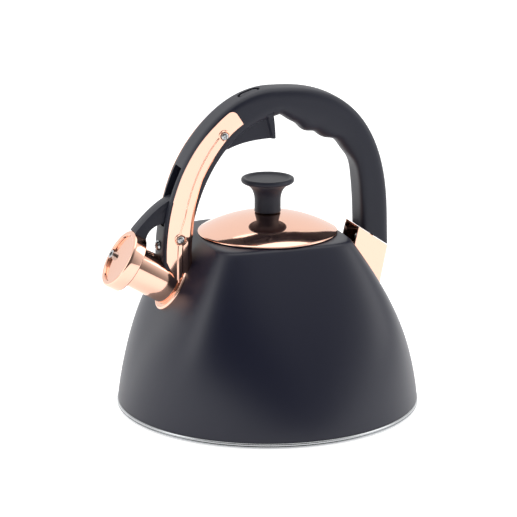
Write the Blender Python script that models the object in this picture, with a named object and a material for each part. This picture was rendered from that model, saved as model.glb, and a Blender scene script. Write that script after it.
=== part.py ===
"""Stovetop whistling kettle, as separate pieces in one frame.

The origin is the centre of the base's underside, on the axis of the body. +Z is up, the spout
points to -X and the handle is an arch in the XZ plane. Every size below is in millimetres, and
add_mesh turns the points into Blender's metres.

The body's cross-section is a superellipse that runs from a circle at the foot to a rounded
square at the shoulder. The button in the top of the handle presses a long lever inside it, and
the lever's far end turns the spout lever, which lifts the whistle cap off the spout.
"""

from dataclasses import dataclass

import bmesh
import bpy
import numpy as np

MM = 0.001

# Clearances
GAP = 0.3            # between two pieces that touch
SLIDE_GAP = 0.6      # beside a piece that moves
PIN_GAP = 0.25       # around a pin in its hole

# Body
FOOT_RADIUS = 111.5
FOOT_Z = 4.2
SHOULDER_Z = 126.0
SHOULDER_HALF = 53.3         # half width across the flats at the shoulder
SHOULDER_POWER = 6.5         # 2 is a circle, and a large power is a square
FLANK_POWER = 1.58           # how the half width falls with height
FLANK_FULLNESS = 0.1
POWER_RISE = 2.05            # how the section turns square with height
SHOULDER_RADIUS = 3.0
BODY_WALL = 1.2
NECK_RADIUS = 43.8
NECK_DEPTH = 8.0
BODY_SIDES = 64

# Base
BASE_RADIUS = 112.0
BASE_FLAT_RADIUS = 108.5
BASE_SHEET = 1.1
PLATE_RADIUS = 103.0
PLATE_THICKNESS = 3.2
PAN_SHEET = 1.0
PAN_FLANGE = 9.0

# Lid
LID_RADIUS = 51.3
LID_RISE = 13.8
LID_SHEET = 0.8
SKIRT_GAP = 0.9
SKIRT_DEPTH = 14.0
VENT_RADIUS = 2.0
LID_LIFT = 18.0

# Knob
KNOB_RADIUS = 19.0
KNOB_STEM_RADIUS = 8.9
KNOB_HEIGHT = 25.5
KNOB_BORE = 1.8
KNOB_BORE_DEPTH = 14.0

# Spout
SPOUT_TILT = np.radians(31.5)
SPOUT_ROOT_Z = 94.5
SPOUT_RADIUS = 15.15
SPOUT_WALL = 1.2
SPOUT_END = 39.4             # from the body's face to the open end
FLANGE_RADIUS = 19.5
FLANGE_THICKNESS = 2.0

# Whistle cap, along the spout's axis
CAP_RADIUS = 22.2
CAP_DEPTH = 10.0
CAP_FACE = 46.9              # from the body's face to the front of the cap
CAP_SHEET = 1.1
CAP_MOUTH_GAP = 1.0
RECESS_RADIUS = 18.2
RECESS_DEPTH = 1.6
WHISTLE_HOLE = 2.1
WHISTLE_HOLE_OUT = 12.4      # from the cap's axis
WHISTLE_PLATE = 0.8

# Handle: two quarter arches that meet at the top
ARCH_X = 2.4
ARCH_TOP = 237.1
FRONT_BASE_Z = 117.5
FRONT_HALF = 85.8
FRONT_POWER = 1.9
REAR_BASE_Z = 122.85
REAR_HALF = 88.8
REAR_POWER = 2.62
HANDLE_DEPTH = 21.6
HANDLE_WIDTH = 25.2
HANDLE_SQUARENESS = 4.5
REAR_CUT = ((66.2, 131.0), (92.0, 113.0))
TONGUE_Z = 100.0
GRIP_SPLIT = -4.0            # the seam under the handle, out from its centre line
PALM_SWELL = 10.0               # how much deeper the grip is in its middle
PALM_RISE = (6.0, 34.0)         # x where the swell begins and is full, on the arch's top
PALM_FALL = (52.0, 90.0)        # x where it starts to fade and has gone
FINGER_RIDGES = (15.4, 36.0, 62.0, 79.0)        # x of the ridges between the dips
SCALLOP_DEPTH = 1.6

# Guard under the front of the handle
GUARD_END_X = 0.8
GUARD_END_Z = 199.6
GUARD_HALF = 8.5

# Channel for the levers
LEG_FOOT = 8.0                  # the front leg's foot, which stands over the spout
CHANNEL_HALF = 7.0
CHANNEL_FLOOR = -8.6
CHANNEL_ROOF = 7.0
CHANNEL_END_X = 25.0
SLOT_TOP_Z = 183.0
SLOT_FOOT_Z = 140.5
BUTTON_X = -14.8
BUTTON_SLOT = (17.6, 9.4)    # length and width
BUTTON_END_GAP = 1.6
BUTTON_RECESS = 0.5          # how far it lies under the handle's surface
BUTTON_PRESS = 2.5

# Levers
LEVER_THICK = 3.0
LEVER_HALF = 4.0
LEVER_PIN_X = 19.3
LEVER_TIP = (-66.8, 169.4)
LEVER_TIP_RADIUS = 1.6
PIN_RADIUS = 1.5
PIN_HALF = 9.8
SPOUT_PIN = (-72.0, 157.0)
HUB_RADIUS = 4.2
ARM_HALF = 6.3
ARM_PULL = (-84.0, 158.5)        # where the arm's outer curve is drawn towards
TAIL_LENGTH = 11.7
TAIL_ANGLE = np.radians(53.2)
TAIL_RADIUS = 1.5

# Brackets
BRACKET_OUT = 13.6           # half width over the side plates
BRACKET_SHEET = 1.2
BRACKET_FRONT = 8.8          # its front edge, out from the handle's centre line
BRACKET_TOP = (-36.3, 220.7)
BRACKET_CORNER = (-22.5, 213.0)
BRACKET_BACK_TOP_Z = 190.0
BRACKET_CUT = ((-81.5, 117.3), (-73.8, 99.8))

# Fasteners
SCREW_HEAD_RADIUS = 2.9
SCREW_HEAD_HEIGHT = 1.6
SCREW_RADIUS = 1.4
BRACKET_SCREWS = {"upper": (-37.1, 205.5), "lower": (-70.6, 131.8)}
COVER_SCREW_Z = 125.5


# ---------------------------------------------------------------- Blender helpers
def clear_scene():
    for obj in list(bpy.data.objects):
        bpy.data.objects.remove(obj, do_unlink=True)


def finish(name, colour, roughness, metallic):
    material = bpy.data.materials.new(name)
    material.use_nodes = True
    shader = material.node_tree.nodes["Principled BSDF"]
    shader.inputs["Base Color"].default_value = (*colour, 1.0)
    shader.inputs["Roughness"].default_value = roughness
    shader.inputs["Metallic"].default_value = metallic
    return material


def add_mesh(name, points, faces, material=None, origin=(0.0, 0.0, 0.0)):
    """An object from points in millimetres, with its origin on the given point."""
    mesh = bpy.data.meshes.new(name)
    local = (np.asarray(points, float) - np.asarray(origin, float)) * MM
    mesh.from_pydata(local.tolist(), [], [list(face) for face in faces])
    solid = bmesh.new()
    solid.from_mesh(mesh)
    bmesh.ops.recalc_face_normals(solid, faces=solid.faces)
    solid.to_mesh(mesh)
    solid.free()
    mesh.shade_smooth()
    mesh.set_sharp_from_angle(angle=np.radians(32.0))
    obj = bpy.data.objects.new(name, mesh)
    obj.location = tuple(value * MM for value in origin)
    bpy.context.scene.collection.objects.link(obj)
    if material:
        mesh.materials.append(material)
    return obj


def as_cutter(obj):
    obj.hide_render = True
    obj.display_type = "WIRE"
    return obj


def boolean(obj, other, operation):
    modifier = obj.modifiers.new(other.name, "BOOLEAN")
    modifier.operation = operation
    modifier.solver = "EXACT"
    modifier.object = as_cutter(other)


def cut(obj, *others):
    for other in others:
        boolean(obj, other, "DIFFERENCE")


def join(obj, *others):
    for other in others:
        boolean(obj, other, "UNION")


# ---------------------------------------------------------------- shapes
def ring_faces(rings, sides, closed):
    """Faces between rings of `sides` points, and caps on the ends of an open row of rings."""
    faces = []
    for row in range(rings if closed else rings - 1):
        here, there = row * sides, ((row + 1) % rings) * sides
        for i in range(sides):
            j = (i + 1) % sides
            faces.append((here + i, here + j, there + j, there + i))
    if not closed:
        faces.append(tuple(range(sides)))
        faces.append(tuple(range((rings - 1) * sides, rings * sides)))
    return faces


def turned(name, profile, material=None, frame=None, sides=48, origin=(0.0, 0.0, 0.0)):
    """A solid of revolution. The profile is (radius, height) round its closed outline, and a
    radius of 0 is a point on the axis. The frame is (origin, across, side, axis)."""
    start, across, side, axis = frame or (
        np.zeros(3), np.array([1.0, 0, 0]), np.array([0, 1.0, 0]), np.array([0, 0, 1.0]))
    turn = np.linspace(0, 2 * np.pi, sides, endpoint=False)
    points, rows = [], []
    for radius, height in profile:
        if radius < 1e-6:
            rows.append([len(points)] * sides)
            points.append(start + axis * height)
        else:
            rows.append(list(range(len(points), len(points) + sides)))
            points.extend(start + axis * height + radius * (across * np.cos(a) + side * np.sin(a))
                          for a in turn)
    faces = []
    for here, there in zip(rows, rows[1:] + rows[:1]):
        for i in range(sides):
            j = (i + 1) % sides
            face = list(dict.fromkeys((here[i], here[j], there[j], there[i])))
            if len(face) > 2:
                faces.append(face)
    return add_mesh(name, points, faces, material, origin)


def rod(name, start, end, radius, material=None, sides=20, origin=(0.0, 0.0, 0.0)):
    """A straight round rod between two points."""
    start, end = np.asarray(start, float), np.asarray(end, float)
    axis = (end - start) / np.linalg.norm(end - start)
    across = np.cross(axis, (0, 1, 0) if abs(axis[1]) < 0.9 else (1, 0, 0))
    across /= np.linalg.norm(across)
    length = np.linalg.norm(end - start)
    frame = (start, across, np.cross(axis, across), axis)
    profile = [(0, 0), (radius, 0), (radius, length), (0, length)]
    return turned(name, profile, material, frame, sides, origin)


def prism(name, outline, y_low, y_high, material=None, origin=(0.0, 0.0, 0.0)):
    """An outline in the XZ plane, carried from y_low to y_high."""
    outline = np.asarray(outline, float)
    rings = [np.column_stack([outline[:, 0], np.full(len(outline), y), outline[:, 1]])
             for y in (y_low, y_high)]
    return add_mesh(name, np.concatenate(rings), ring_faces(2, len(outline), False),
                    material, origin)


def superellipse(half_x, half_y, power, sides):
    turn = np.linspace(0, 2 * np.pi, sides, endpoint=False)
    cos, sin = np.cos(turn), np.sin(turn)
    reach = (np.abs(cos) ** power + np.abs(sin) ** power) ** (-1.0 / power)
    return np.column_stack([half_x * reach * cos, half_y * reach * sin])


def arc(centre, radius, start, end, steps):
    angle = np.linspace(start, end, steps)
    return np.column_stack([centre[0] + radius * np.cos(angle), centre[1] + radius * np.sin(angle)])


def bezier(start, pull, end, steps):
    t = np.linspace(0, 1, steps)[:, None]
    return ((1 - t) ** 2 * np.array(start) + 2 * t * (1 - t) * np.array(pull)
            + t ** 2 * np.array(end))


# ---------------------------------------------------------------- the body's form
def body_half(z):
    """Half width across the flats at a height."""
    share = np.clip(z / SHOULDER_Z, 0.0, 1.2)
    fall = share ** FLANK_POWER * (1 + FLANK_FULLNESS * (1 - share))
    return FOOT_RADIUS - (FOOT_RADIUS - SHOULDER_HALF) * fall


def body_power(z):
    share = np.clip((z + 2.0) / (SHOULDER_Z + 2.0), 0.0, 1.0)
    return 2.0 + (SHOULDER_POWER - 2.0) * share ** POWER_RISE


def body_ring(z, half, power):
    section = superellipse(half, half, power, BODY_SIDES)
    return np.column_stack([section, np.full(BODY_SIDES, z)])


def flank_levels():
    return np.linspace(0, 1, 11) ** 0.9 * (SHOULDER_Z - FOOT_Z) + FOOT_Z


def body_rings(inset):
    """Rings up the flank and over the shoulder, a distance inside the outer face."""
    rings = [body_ring(z, body_half(z) - inset, body_power(z)) for z in flank_levels()]
    for angle in np.radians((30.0, 60.0, 90.0)):
        bend = SHOULDER_RADIUS
        half = SHOULDER_HALF - inset - bend * (1 - np.cos(angle)) - 0.5
        rings.append(body_ring(SHOULDER_Z + (bend - inset) * np.sin(angle), half, SHOULDER_POWER))
    return rings


PLATEAU_Z = SHOULDER_Z + SHOULDER_RADIUS


def body_solid(name, grow):
    """The body as a full solid, grown by a distance, to trim what meets it."""
    rings = body_rings(-grow)
    return add_mesh(name, np.concatenate(rings), ring_faces(len(rings), BODY_SIDES, False))


def make_body(material):
    outer = body_rings(0.0)
    outer.append(body_ring(PLATEAU_Z, NECK_RADIUS + 1.0, 2.0))
    outer.append(body_ring(PLATEAU_Z - 0.7, NECK_RADIUS, 2.0))
    outer.append(body_ring(PLATEAU_Z - NECK_DEPTH, NECK_RADIUS, 2.0))
    inner = body_rings(BODY_WALL)
    inner.append(body_ring(PLATEAU_Z - BODY_WALL, NECK_RADIUS + 2.2, 2.0))
    inner.append(body_ring(PLATEAU_Z - NECK_DEPTH, NECK_RADIUS + BODY_WALL, 2.0))
    rings = outer + inner[::-1]
    body = add_mesh("body_shell", np.concatenate(rings),
                    ring_faces(len(rings), BODY_SIDES, True), material)
    bore = rod("cut_spout_bore", spout_point(-9.0), spout_point(9.0), SPOUT_RADIUS - SPOUT_WALL,
               sides=32)
    cut(body, bore)
    return body


# ---------------------------------------------------------------- base
def make_base(steel, aluminium, sheet):
    lip_z = FOOT_Z - GAP
    turned("base_cap", [
        (0, 0), (BASE_FLAT_RADIUS, 0), (BASE_RADIUS - 1.3, 0.5), (BASE_RADIUS - 0.3, 1.6),
        (BASE_RADIUS, lip_z - 1.1), (BASE_RADIUS - 0.4, lip_z), (BASE_RADIUS - 1.4, lip_z),
        (BASE_RADIUS - 1.3, lip_z - 1.1), (BASE_RADIUS - 1.9, 1.9),
        (BASE_FLAT_RADIUS - 0.4, BASE_SHEET), (0, BASE_SHEET)], steel, sides=80)
    plate_low = BASE_SHEET + GAP
    plate_top = plate_low + PLATE_THICKNESS
    turned("heat_plate", [
        (0, plate_low), (PLATE_RADIUS, plate_low), (PLATE_RADIUS, plate_top), (0, plate_top)],
        aluminium, sides=64)
    pan_low = plate_top + GAP
    pan_top = pan_low + PAN_SHEET
    rim = body_half(pan_low + PAN_FLANGE) - BODY_WALL - SLIDE_GAP
    turned("bottom_pan", [
        (0, pan_low), (rim - 2.4, pan_low), (rim, pan_low + 2.4), (rim, pan_low + PAN_FLANGE),
        (rim - PAN_SHEET, pan_low + PAN_FLANGE), (rim - PAN_SHEET, pan_low + 2.8),
        (rim - 2.8, pan_top), (0, pan_top)], sheet, sides=64)


# ---------------------------------------------------------------- spout and whistle cap
SPOUT_AXIS = np.array([-np.cos(SPOUT_TILT), 0.0, np.sin(SPOUT_TILT)])
SPOUT_UP = np.array([np.sin(SPOUT_TILT), 0.0, np.cos(SPOUT_TILT)])
SPOUT_SIDE = np.array([0.0, 1.0, 0.0])
SPOUT_ROOT = np.array([-body_half(SPOUT_ROOT_Z), 0.0, SPOUT_ROOT_Z])
SPOUT_FRAME = (SPOUT_ROOT, SPOUT_UP, SPOUT_SIDE, SPOUT_AXIS)


def spout_point(along, up=0.0, side=0.0):
    return SPOUT_ROOT + SPOUT_AXIS * along + SPOUT_UP * up + SPOUT_SIDE * side


def ring_profile(inner, outer, low, high):
    return [(inner, low), (outer, low), (outer, high), (inner, high)]


def make_spout(material):
    inside = SPOUT_RADIUS - SPOUT_WALL
    tube = turned("spout_tube", ring_profile(inside, SPOUT_RADIUS, -6.0, SPOUT_END), material,
                  SPOUT_FRAME, 40)
    cut(tube, body_solid("cut_spout_foot", GAP))
    flange = turned("spout_flange", ring_profile(SPOUT_RADIUS + GAP, FLANGE_RADIUS, -4.0,
                                                 FLANGE_THICKNESS), material, SPOUT_FRAME, 40)
    cut(flange, body_solid("cut_flange_foot", GAP))


def make_whistle(metal, plate):
    mouth = SPOUT_RADIUS + CAP_MOUTH_GAP
    back = CAP_FACE - CAP_DEPTH
    ledge = CAP_FACE - RECESS_DEPTH - WHISTLE_PLATE - GAP
    sleeve = RECESS_RADIUS - 1.8
    sleeve_back = SPOUT_END + GAP
    cup_back = ledge - CAP_SHEET
    inner_wall = RECESS_RADIUS + CAP_SHEET
    turned("whistle_cap", [
        (RECESS_RADIUS, CAP_FACE), (CAP_RADIUS - 0.8, CAP_FACE), (CAP_RADIUS, CAP_FACE - 0.8),
        (CAP_RADIUS, back + 0.3), (CAP_RADIUS - 0.3, back), (mouth, back),
        (mouth, back + CAP_SHEET - 0.1), (CAP_RADIUS - CAP_SHEET, back + CAP_SHEET - 0.1),
        (CAP_RADIUS - CAP_SHEET, CAP_FACE - CAP_SHEET), (inner_wall, CAP_FACE - CAP_SHEET),
        (inner_wall, cup_back), (sleeve + 1.0, cup_back), (sleeve + 1.0, sleeve_back),
        (sleeve, sleeve_back), (sleeve, ledge), (RECESS_RADIUS, ledge)],
        metal, SPOUT_FRAME, 48, pin_centre())
    hole = (-0.4, 0.92)
    for name, radius, low in (
            ("whistle_plate_outer", RECESS_RADIUS - GAP, ledge + GAP),
            ("whistle_plate_inner", sleeve - GAP, sleeve_back + 0.1)):
        disc = turned(name, [(0, low), (radius, low), (radius, low + WHISTLE_PLATE),
                             (0, low + WHISTLE_PLATE)], plate, SPOUT_FRAME, 40, pin_centre())
        up, side = hole[0] * -WHISTLE_HOLE_OUT, hole[1] * WHISTLE_HOLE_OUT
        cut(disc, rod("cut_" + name, spout_point(low - 2, up, side), spout_point(low + 3, up, side),
                      WHISTLE_HOLE, sides=20))


# ---------------------------------------------------------------- the handle's form
@dataclass(frozen=True)
class Quarter:
    """A quarter of a superellipse, from a leg up to the top of the arch."""

    side: float
    half: float
    base_z: float
    power: float

    @property
    def rise(self):
        return ARCH_TOP - self.base_z

    def at(self, across, up):
        """The outer point and its outward normal, from shares of the half width and the rise."""
        normal = np.array([self.side * across ** (self.power - 1) / self.half,
                           up ** (self.power - 1) / self.rise])
        point = np.array([ARCH_X + self.side * self.half * across, self.base_z + self.rise * up])
        return point, normal / np.linalg.norm(normal)

    def at_angle(self, angle):
        return self.at(np.cos(angle) ** (2 / self.power), np.sin(angle) ** (2 / self.power))

    def at_z(self, z):
        up = np.clip((z - self.base_z) / self.rise, 0.0, 1.0)
        return self.at((1 - up ** self.power) ** (1 / self.power), up)

    def at_x(self, x):
        across = np.clip((x - ARCH_X) / self.half * self.side, 0.0, 1.0)
        return self.at(across, (1 - across ** self.power) ** (1 / self.power))


FRONT = Quarter(-1.0, FRONT_HALF, FRONT_BASE_Z, FRONT_POWER)
REAR = Quarter(1.0, REAR_HALF, REAR_BASE_Z, REAR_POWER)


def quarter_at(x):
    return FRONT if x < ARCH_X else REAR


def handle_xz(station, off):
    """A point a distance out from the handle's centre line, at a station."""
    point, normal = station
    return point + normal * (off - HANDLE_DEPTH / 2)


def stations(first, last, front_steps=15, rear_steps=15):
    """Stations along the arch. An end is ("z", value) on the front leg, ("x", value) across the
    top, or ("foot", value) below the rear quarter's base."""
    every = [FRONT.at_angle(a) for a in np.linspace(0, np.pi / 2, front_steps)]
    every += [REAR.at_angle(a) for a in np.linspace(np.pi / 2, 0, rear_steps)[1:]]
    places = [along(station) for station in every]
    ends = []
    for kind, value in (first, last):
        if kind == "z":
            ends.append(FRONT.at_z(value))
        elif kind == "x":
            ends.append(quarter_at(value).at_x(value))
        else:
            point, normal = REAR.at_angle(0.0)
            ends.append((np.array([point[0], value]), normal))
    low, high = along(ends[0]), along(ends[1])
    inside = [s for s, place in zip(every, places) if low + 1.5 < place < high - 1.5]
    return [ends[0], *inside, ends[1]]


def along(station):
    """A length that grows along the arch from the front leg to the rear one."""
    point, _ = station
    if point[0] < ARCH_X:
        return point[1] - ARCH_TOP + (point[0] - ARCH_X)
    return ARCH_TOP - point[1] + (point[0] - ARCH_X)


def swept(name, path, sections, material=None, origin=(0.0, 0.0, 0.0)):
    """Carries a closed section of (off, y) points along the arch. Each station has its own."""
    if np.ndim(sections) == 2:
        sections = [sections] * len(path)
    rings = []
    for station, section in zip(path, sections):
        section = np.asarray(section, float)
        flat = np.array([handle_xz(station, off) for off in section[:, 0]])
        rings.append(np.column_stack([flat[:, 0], section[:, 1], flat[:, 1]]))
    return add_mesh(name, np.concatenate(rings), ring_faces(len(rings), len(rings[0]), False),
                    material, origin)


def box_section(low, high, half):
    return [(low, -half), (high, -half), (high, half), (low, half)]


# ---------------------------------------------------------------- handle pieces
def guard_outline():
    """The plate under the front of the handle: its top is hidden inside the handle."""
    front = [handle_xz(FRONT.at_x(x), -HANDLE_DEPTH / 2 + 2.4) for x in (-52.0, -32.0, -16.0, -8.0)]
    inner_foot = handle_xz(FRONT.at_x(-52.0), -HANDLE_DEPTH / 2 + 0.2)
    under = bezier(inner_foot, (-23.5, GUARD_END_Z + 0.6), (GUARD_END_X, GUARD_END_Z), 7)
    return [*under, (GUARD_END_X - 2.6, GUARD_END_Z + 18.0), *front[::-1]]


def rear_cut_outline(drop):
    """Everything under the slanted end of the rear leg, lowered by a distance."""
    (x0, z0), (x1, z1) = REAR_CUT
    slope = (z1 - z0) / (x1 - x0)
    left, right = x0 - 12.0, x1 + 12.0
    return [(left, z0 + slope * (left - x0) - drop), (right, z0 + slope * (right - x0) - drop),
            (right, 40.0), (left, 40.0)]


def bracket_outline(grow):
    """A side plate of the front bracket. The handle's recess is the same outline, grown."""
    front = [handle_xz(s, BRACKET_FRONT + grow)
             for s in stations(("z", BRACKET_CUT[0][1] + 0.5), ("x", BRACKET_TOP[0] - 6.0))]
    top = [(BRACKET_TOP[0] - grow, BRACKET_TOP[1] + grow),
           (BRACKET_TOP[0] + 6.5, BRACKET_TOP[1] - 0.6 + grow),
           (BRACKET_CORNER[0] - 1.5 + grow, BRACKET_CORNER[1] + 3.0 + grow),
           (BRACKET_CORNER[0] + grow, BRACKET_CORNER[1] - grow)]
    back_off = -HANDLE_DEPTH / 2 - 1.0 - grow
    back = [handle_xz(s, back_off)
            for s in stations(("z", FRONT_BASE_Z), ("z", BRACKET_BACK_TOP_Z + 3.0))]
    foot = [(back[0][0], 96.0), (BRACKET_CUT[1][0] - grow, BRACKET_CUT[1][1] - 2.0),
            (BRACKET_CUT[0][0] - grow, BRACKET_CUT[0][1])]
    return [*front, *top, *back[::-1], *foot]


def pill_outline(length, width, steps=9):
    """A slot shape in its own plane: (along, across)."""
    straight = (length - width) / 2
    right = arc((straight, 0), width / 2, -np.pi / 2, np.pi / 2, steps)
    left = arc((-straight, 0), width / 2, np.pi / 2, 3 * np.pi / 2, steps)
    return np.concatenate([right, left])


def pill_prism(name, length, width, low, high, material=None, origin=(0.0, 0.0, 0.0)):
    """A pill that stands across the handle at the button, between two distances out."""
    station = FRONT.at_x(BUTTON_X)
    normal = station[1]
    tangent = np.array([normal[1], -normal[0]])
    outline = pill_outline(length, width)
    rings = []
    for off in (low, high):
        centre = handle_xz(station, off)
        flat = centre + outline[:, :1] * tangent
        rings.append(np.column_stack([flat[:, 0], outline[:, 1], flat[:, 1]]))
    return add_mesh(name, np.concatenate(rings), ring_faces(2, len(outline), False), material,
                    origin)


def ease(value, low, high):
    """A smooth rise from 0 at low to 1 at high."""
    share = np.clip((value - low) / (high - low), 0.0, 1.0)
    return share * share * (3 - 2 * share)


def palm_depth(x):
    """How far the grip's underside lies below a plain handle's, at an outer point's x: a swell
    for the palm, less the dips for the fingers between the ridges."""
    swell = PALM_SWELL * ease(x, *PALM_RISE) * (1 - ease(x, *PALM_FALL))
    spacing = FINGER_RIDGES[1] - FINGER_RIDGES[0]
    places = (FINGER_RIDGES[0] - spacing / 2, *FINGER_RIDGES, ARCH_X + REAR_HALF)
    turns = np.interp(x, places, (-0.5, 0.0, 1.0, 2.0, 3.0, 4.0))
    dip = (1 - np.cos(2 * np.pi * turns)) / 2
    return swell - SCALLOP_DEPTH * dip


def grip_section(depth):
    """The underside cover's section: the handle's own section, cut flat at the seam, with
    everything below the seam stretched to the depth."""
    full = superellipse(HANDLE_DEPTH / 2, HANDLE_WIDTH / 2, HANDLE_SQUARENESS, 28)
    seam = GRIP_SPLIT - GAP
    half = HANDLE_WIDTH / 2 * (1 - (abs(seam) / (HANDLE_DEPTH / 2)) ** HANDLE_SQUARENESS) ** (
        1 / HANDLE_SQUARENESS)
    stretch = 1 + depth / (HANDLE_DEPTH / 2 + seam)
    lower = [(seam + (off - seam) * stretch, y) for off, y in full if off < seam - 0.2]
    return [(seam, -half), *sorted(lower, key=lambda p: p[1]), (seam, half)]


def with_foot(path, extra=0.0):
    """The path with its first station carried straight down by the leg's foot."""
    point, normal = path[0]
    return [(point - np.array([0.0, LEG_FOOT + extra]), normal), *path]


def spout_cutters(name):
    """The spout's tube and flange with a gap round them, for pieces that stand over it."""
    return [rod(name + "_tube", spout_point(-20), spout_point(60), SPOUT_RADIUS + GAP, sides=40),
            rod(name + "_flange", spout_point(-20), spout_point(FLANGE_THICKNESS + GAP),
                FLANGE_RADIUS + GAP, sides=40)]


def make_handle(material, grip_material):
    path = with_foot(stations(("z", FRONT_BASE_Z), ("foot", REAR_CUT[1][1] - 6.0)))
    section = superellipse(HANDLE_DEPTH / 2, HANDLE_WIDTH / 2, HANDLE_SQUARENESS, 28)
    shell = swept("handle_shell", path, section, material)
    cut(shell, prism("cut_rear_end", rear_cut_outline(0.0), -30, 30))
    tongue = prism("add_tongue", tongue_outline(), -(BRACKET_OUT - BRACKET_SHEET - GAP),
                   BRACKET_OUT - BRACKET_SHEET - GAP)
    guard = prism("add_guard", guard_outline(), -GUARD_HALF, GUARD_HALF)
    join(shell, tongue, guard)
    grip_path = (("x", GUARD_END_X + 1.5), ("foot", REAR_CUT[1][1] + 10.0))
    seam = GRIP_SPLIT
    deep = -HANDLE_DEPTH / 2 - 4.0
    cut(shell,
        swept("cut_grip", stations(*grip_path), box_section(deep, seam, HANDLE_WIDTH)),
        swept("cut_channel", with_foot(stations(("z", FRONT_BASE_Z), ("x", CHANNEL_END_X)), 2.0),
              box_section(CHANNEL_FLOOR, CHANNEL_ROOF, CHANNEL_HALF)),
        swept("cut_slot", with_foot(stations(("z", FRONT_BASE_Z), ("z", SLOT_TOP_Z)), 2.0),
              box_section(CHANNEL_ROOF - 1.0, HANDLE_DEPTH / 2 + 2.0, CHANNEL_HALF)),
        body_solid("cut_leg_body", GAP), *spout_cutters("cut_leg"),
        pill_prism("cut_button_slot", *BUTTON_SLOT, CHANNEL_ROOF - 3.0, HANDLE_DEPTH / 2 + 3.0))
    for sign, side in ((-1, "left"), (1, "right")):
        low, high = sorted((sign * (BRACKET_OUT - BRACKET_SHEET - GAP), sign * 20.0))
        cut(shell, prism("cut_recess_" + side, bracket_outline(GAP), low, high))
        for level, (x, z) in BRACKET_SCREWS.items():
            cut(shell, rod(f"cut_screw_{level}_{side}", (x, sign * (CHANNEL_HALF + 0.8), z),
                           (x, sign * 20, z), SCREW_RADIUS + GAP, sides=12))
    for name, (x, z) in (("thumb", lever_pin()), ("spout", SPOUT_PIN)):
        cut(shell, rod("cut_pin_" + name, (x, -PIN_HALF - 0.4, z), (x, PIN_HALF + 0.4, z),
                       PIN_RADIUS + PIN_GAP, sides=16))
    for name, (x, _, z), direction in grip_screws():
        centre, out = np.array([x, 0, z]), np.array([direction[0], 0, direction[1]])
        cut(shell, rod("cut_shell_" + name, centre - out * 2, centre + out * 9,
                       SCREW_RADIUS + GAP, sides=12))
    cut(shell, rod("cut_rear_screw", (60.0, 0, rear_screw_z()), (84.0, 0, rear_screw_z()),
                   SCREW_RADIUS + GAP, sides=12))
    make_grip(grip_path, grip_material)
    make_lever_cover(material)
    return shell


def make_grip(grip_path, material):
    """The cover under the hand, with a wave of shallow dips for the fingers."""
    first = ("x", grip_path[0][1] + GAP)
    path = stations(first, grip_path[1], 21, 31)
    depths = [palm_depth(point[0]) for point, _ in path]
    grip = swept("handle_grip_cover", path, [grip_section(depth) for depth in depths], material)
    cut(grip, prism("cut_grip_foot", rear_cut_outline(-GAP - 6.0), -30, 30))
    for name, (x, _, z), direction in grip_screws():
        centre, out = np.array([x, 0, z]), np.array([direction[0], 0, direction[1]])
        cut(grip,
            rod("cut_grip_" + name, centre - out * 24, centre + out * 6, SCREW_RADIUS + GAP,
                sides=12),
            rod("cut_head_" + name, centre - out * 24, centre - out * (1.6 - GAP),
                SCREW_HEAD_RADIUS + GAP, sides=16))


def grip_screws():
    """Two screws that hold the underside cover: name, place on the seam, outward direction."""
    found = []
    for name, station in (("grip_screw_front", REAR.at_x(33.0)), ("grip_screw_rear",
                                                                  REAR.at_z(150.0))):
        x, z = handle_xz(station, GRIP_SPLIT)
        found.append((name, (x, 0.0, z), station[1]))
    return found


def tongue_outline():
    """The end of the rear leg that stands inside the rear bracket."""
    (x0, z0), (x1, z1) = REAR_CUT
    outer = x1 - BRACKET_SHEET - 2.2
    return [(x0 + 4.6, z0 + 6.0), (x0 + 4.6, TONGUE_Z + 11.0), (x0 + 9.5, TONGUE_Z),
            (outer - 2.0, TONGUE_Z), (outer, z1 + 14.0)]


def cover_front(z):
    return handle_xz(FRONT.at_z(z), HANDLE_DEPTH / 2)


def make_lever_cover(material):
    """The plate that closes the front of the leg under the slot."""
    path = stations(("z", FRONT_BASE_Z + 0.5), ("z", SLOT_FOOT_Z - GAP))
    half = CHANNEL_HALF - GAP
    cover = swept("lever_cover", path, box_section(CHANNEL_ROOF - 1.0, HANDLE_DEPTH / 2 - 0.2,
                                                   half), material)
    x, z = cover_front(COVER_SCREW_Z)
    cut(cover, rod("cut_cover_screw", (x - 4, 0, z), (x + 12, 0, z), SCREW_RADIUS + GAP, sides=12),
        *spout_cutters("cut_cover"))


# ---------------------------------------------------------------- levers and button
def lever_pin():
    x, z = handle_xz(REAR.at_x(LEVER_PIN_X), 0.0)
    return (x, z)


def pin_centre():
    return (SPOUT_PIN[0], 0.0, SPOUT_PIN[1])


def make_button(material):
    slot_length, slot_width = BUTTON_SLOT
    pill_prism("thumb_button", slot_length - 2 * BUTTON_END_GAP, slot_width - 2 * SLIDE_GAP,
               LEVER_THICK / 2 + 2.5, HANDLE_DEPTH / 2 - BUTTON_RECESS, material)


def lever_path():
    """Centre points of the long lever, from its pin to its tip. It leaves the handle's centre
    line steadily towards the front, so that its tip has room to move in."""
    tip_off = 4.4
    path = stations(("z", LEVER_TIP[1] + 4.0), ("x", LEVER_PIN_X), 13, 13)[::-1]
    share = np.linspace(0, 1, len(path))
    points = [handle_xz(station, tip_off * s ** 0.8) for station, s in zip(path, share)]
    return np.array([*points, LEVER_TIP])


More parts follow.
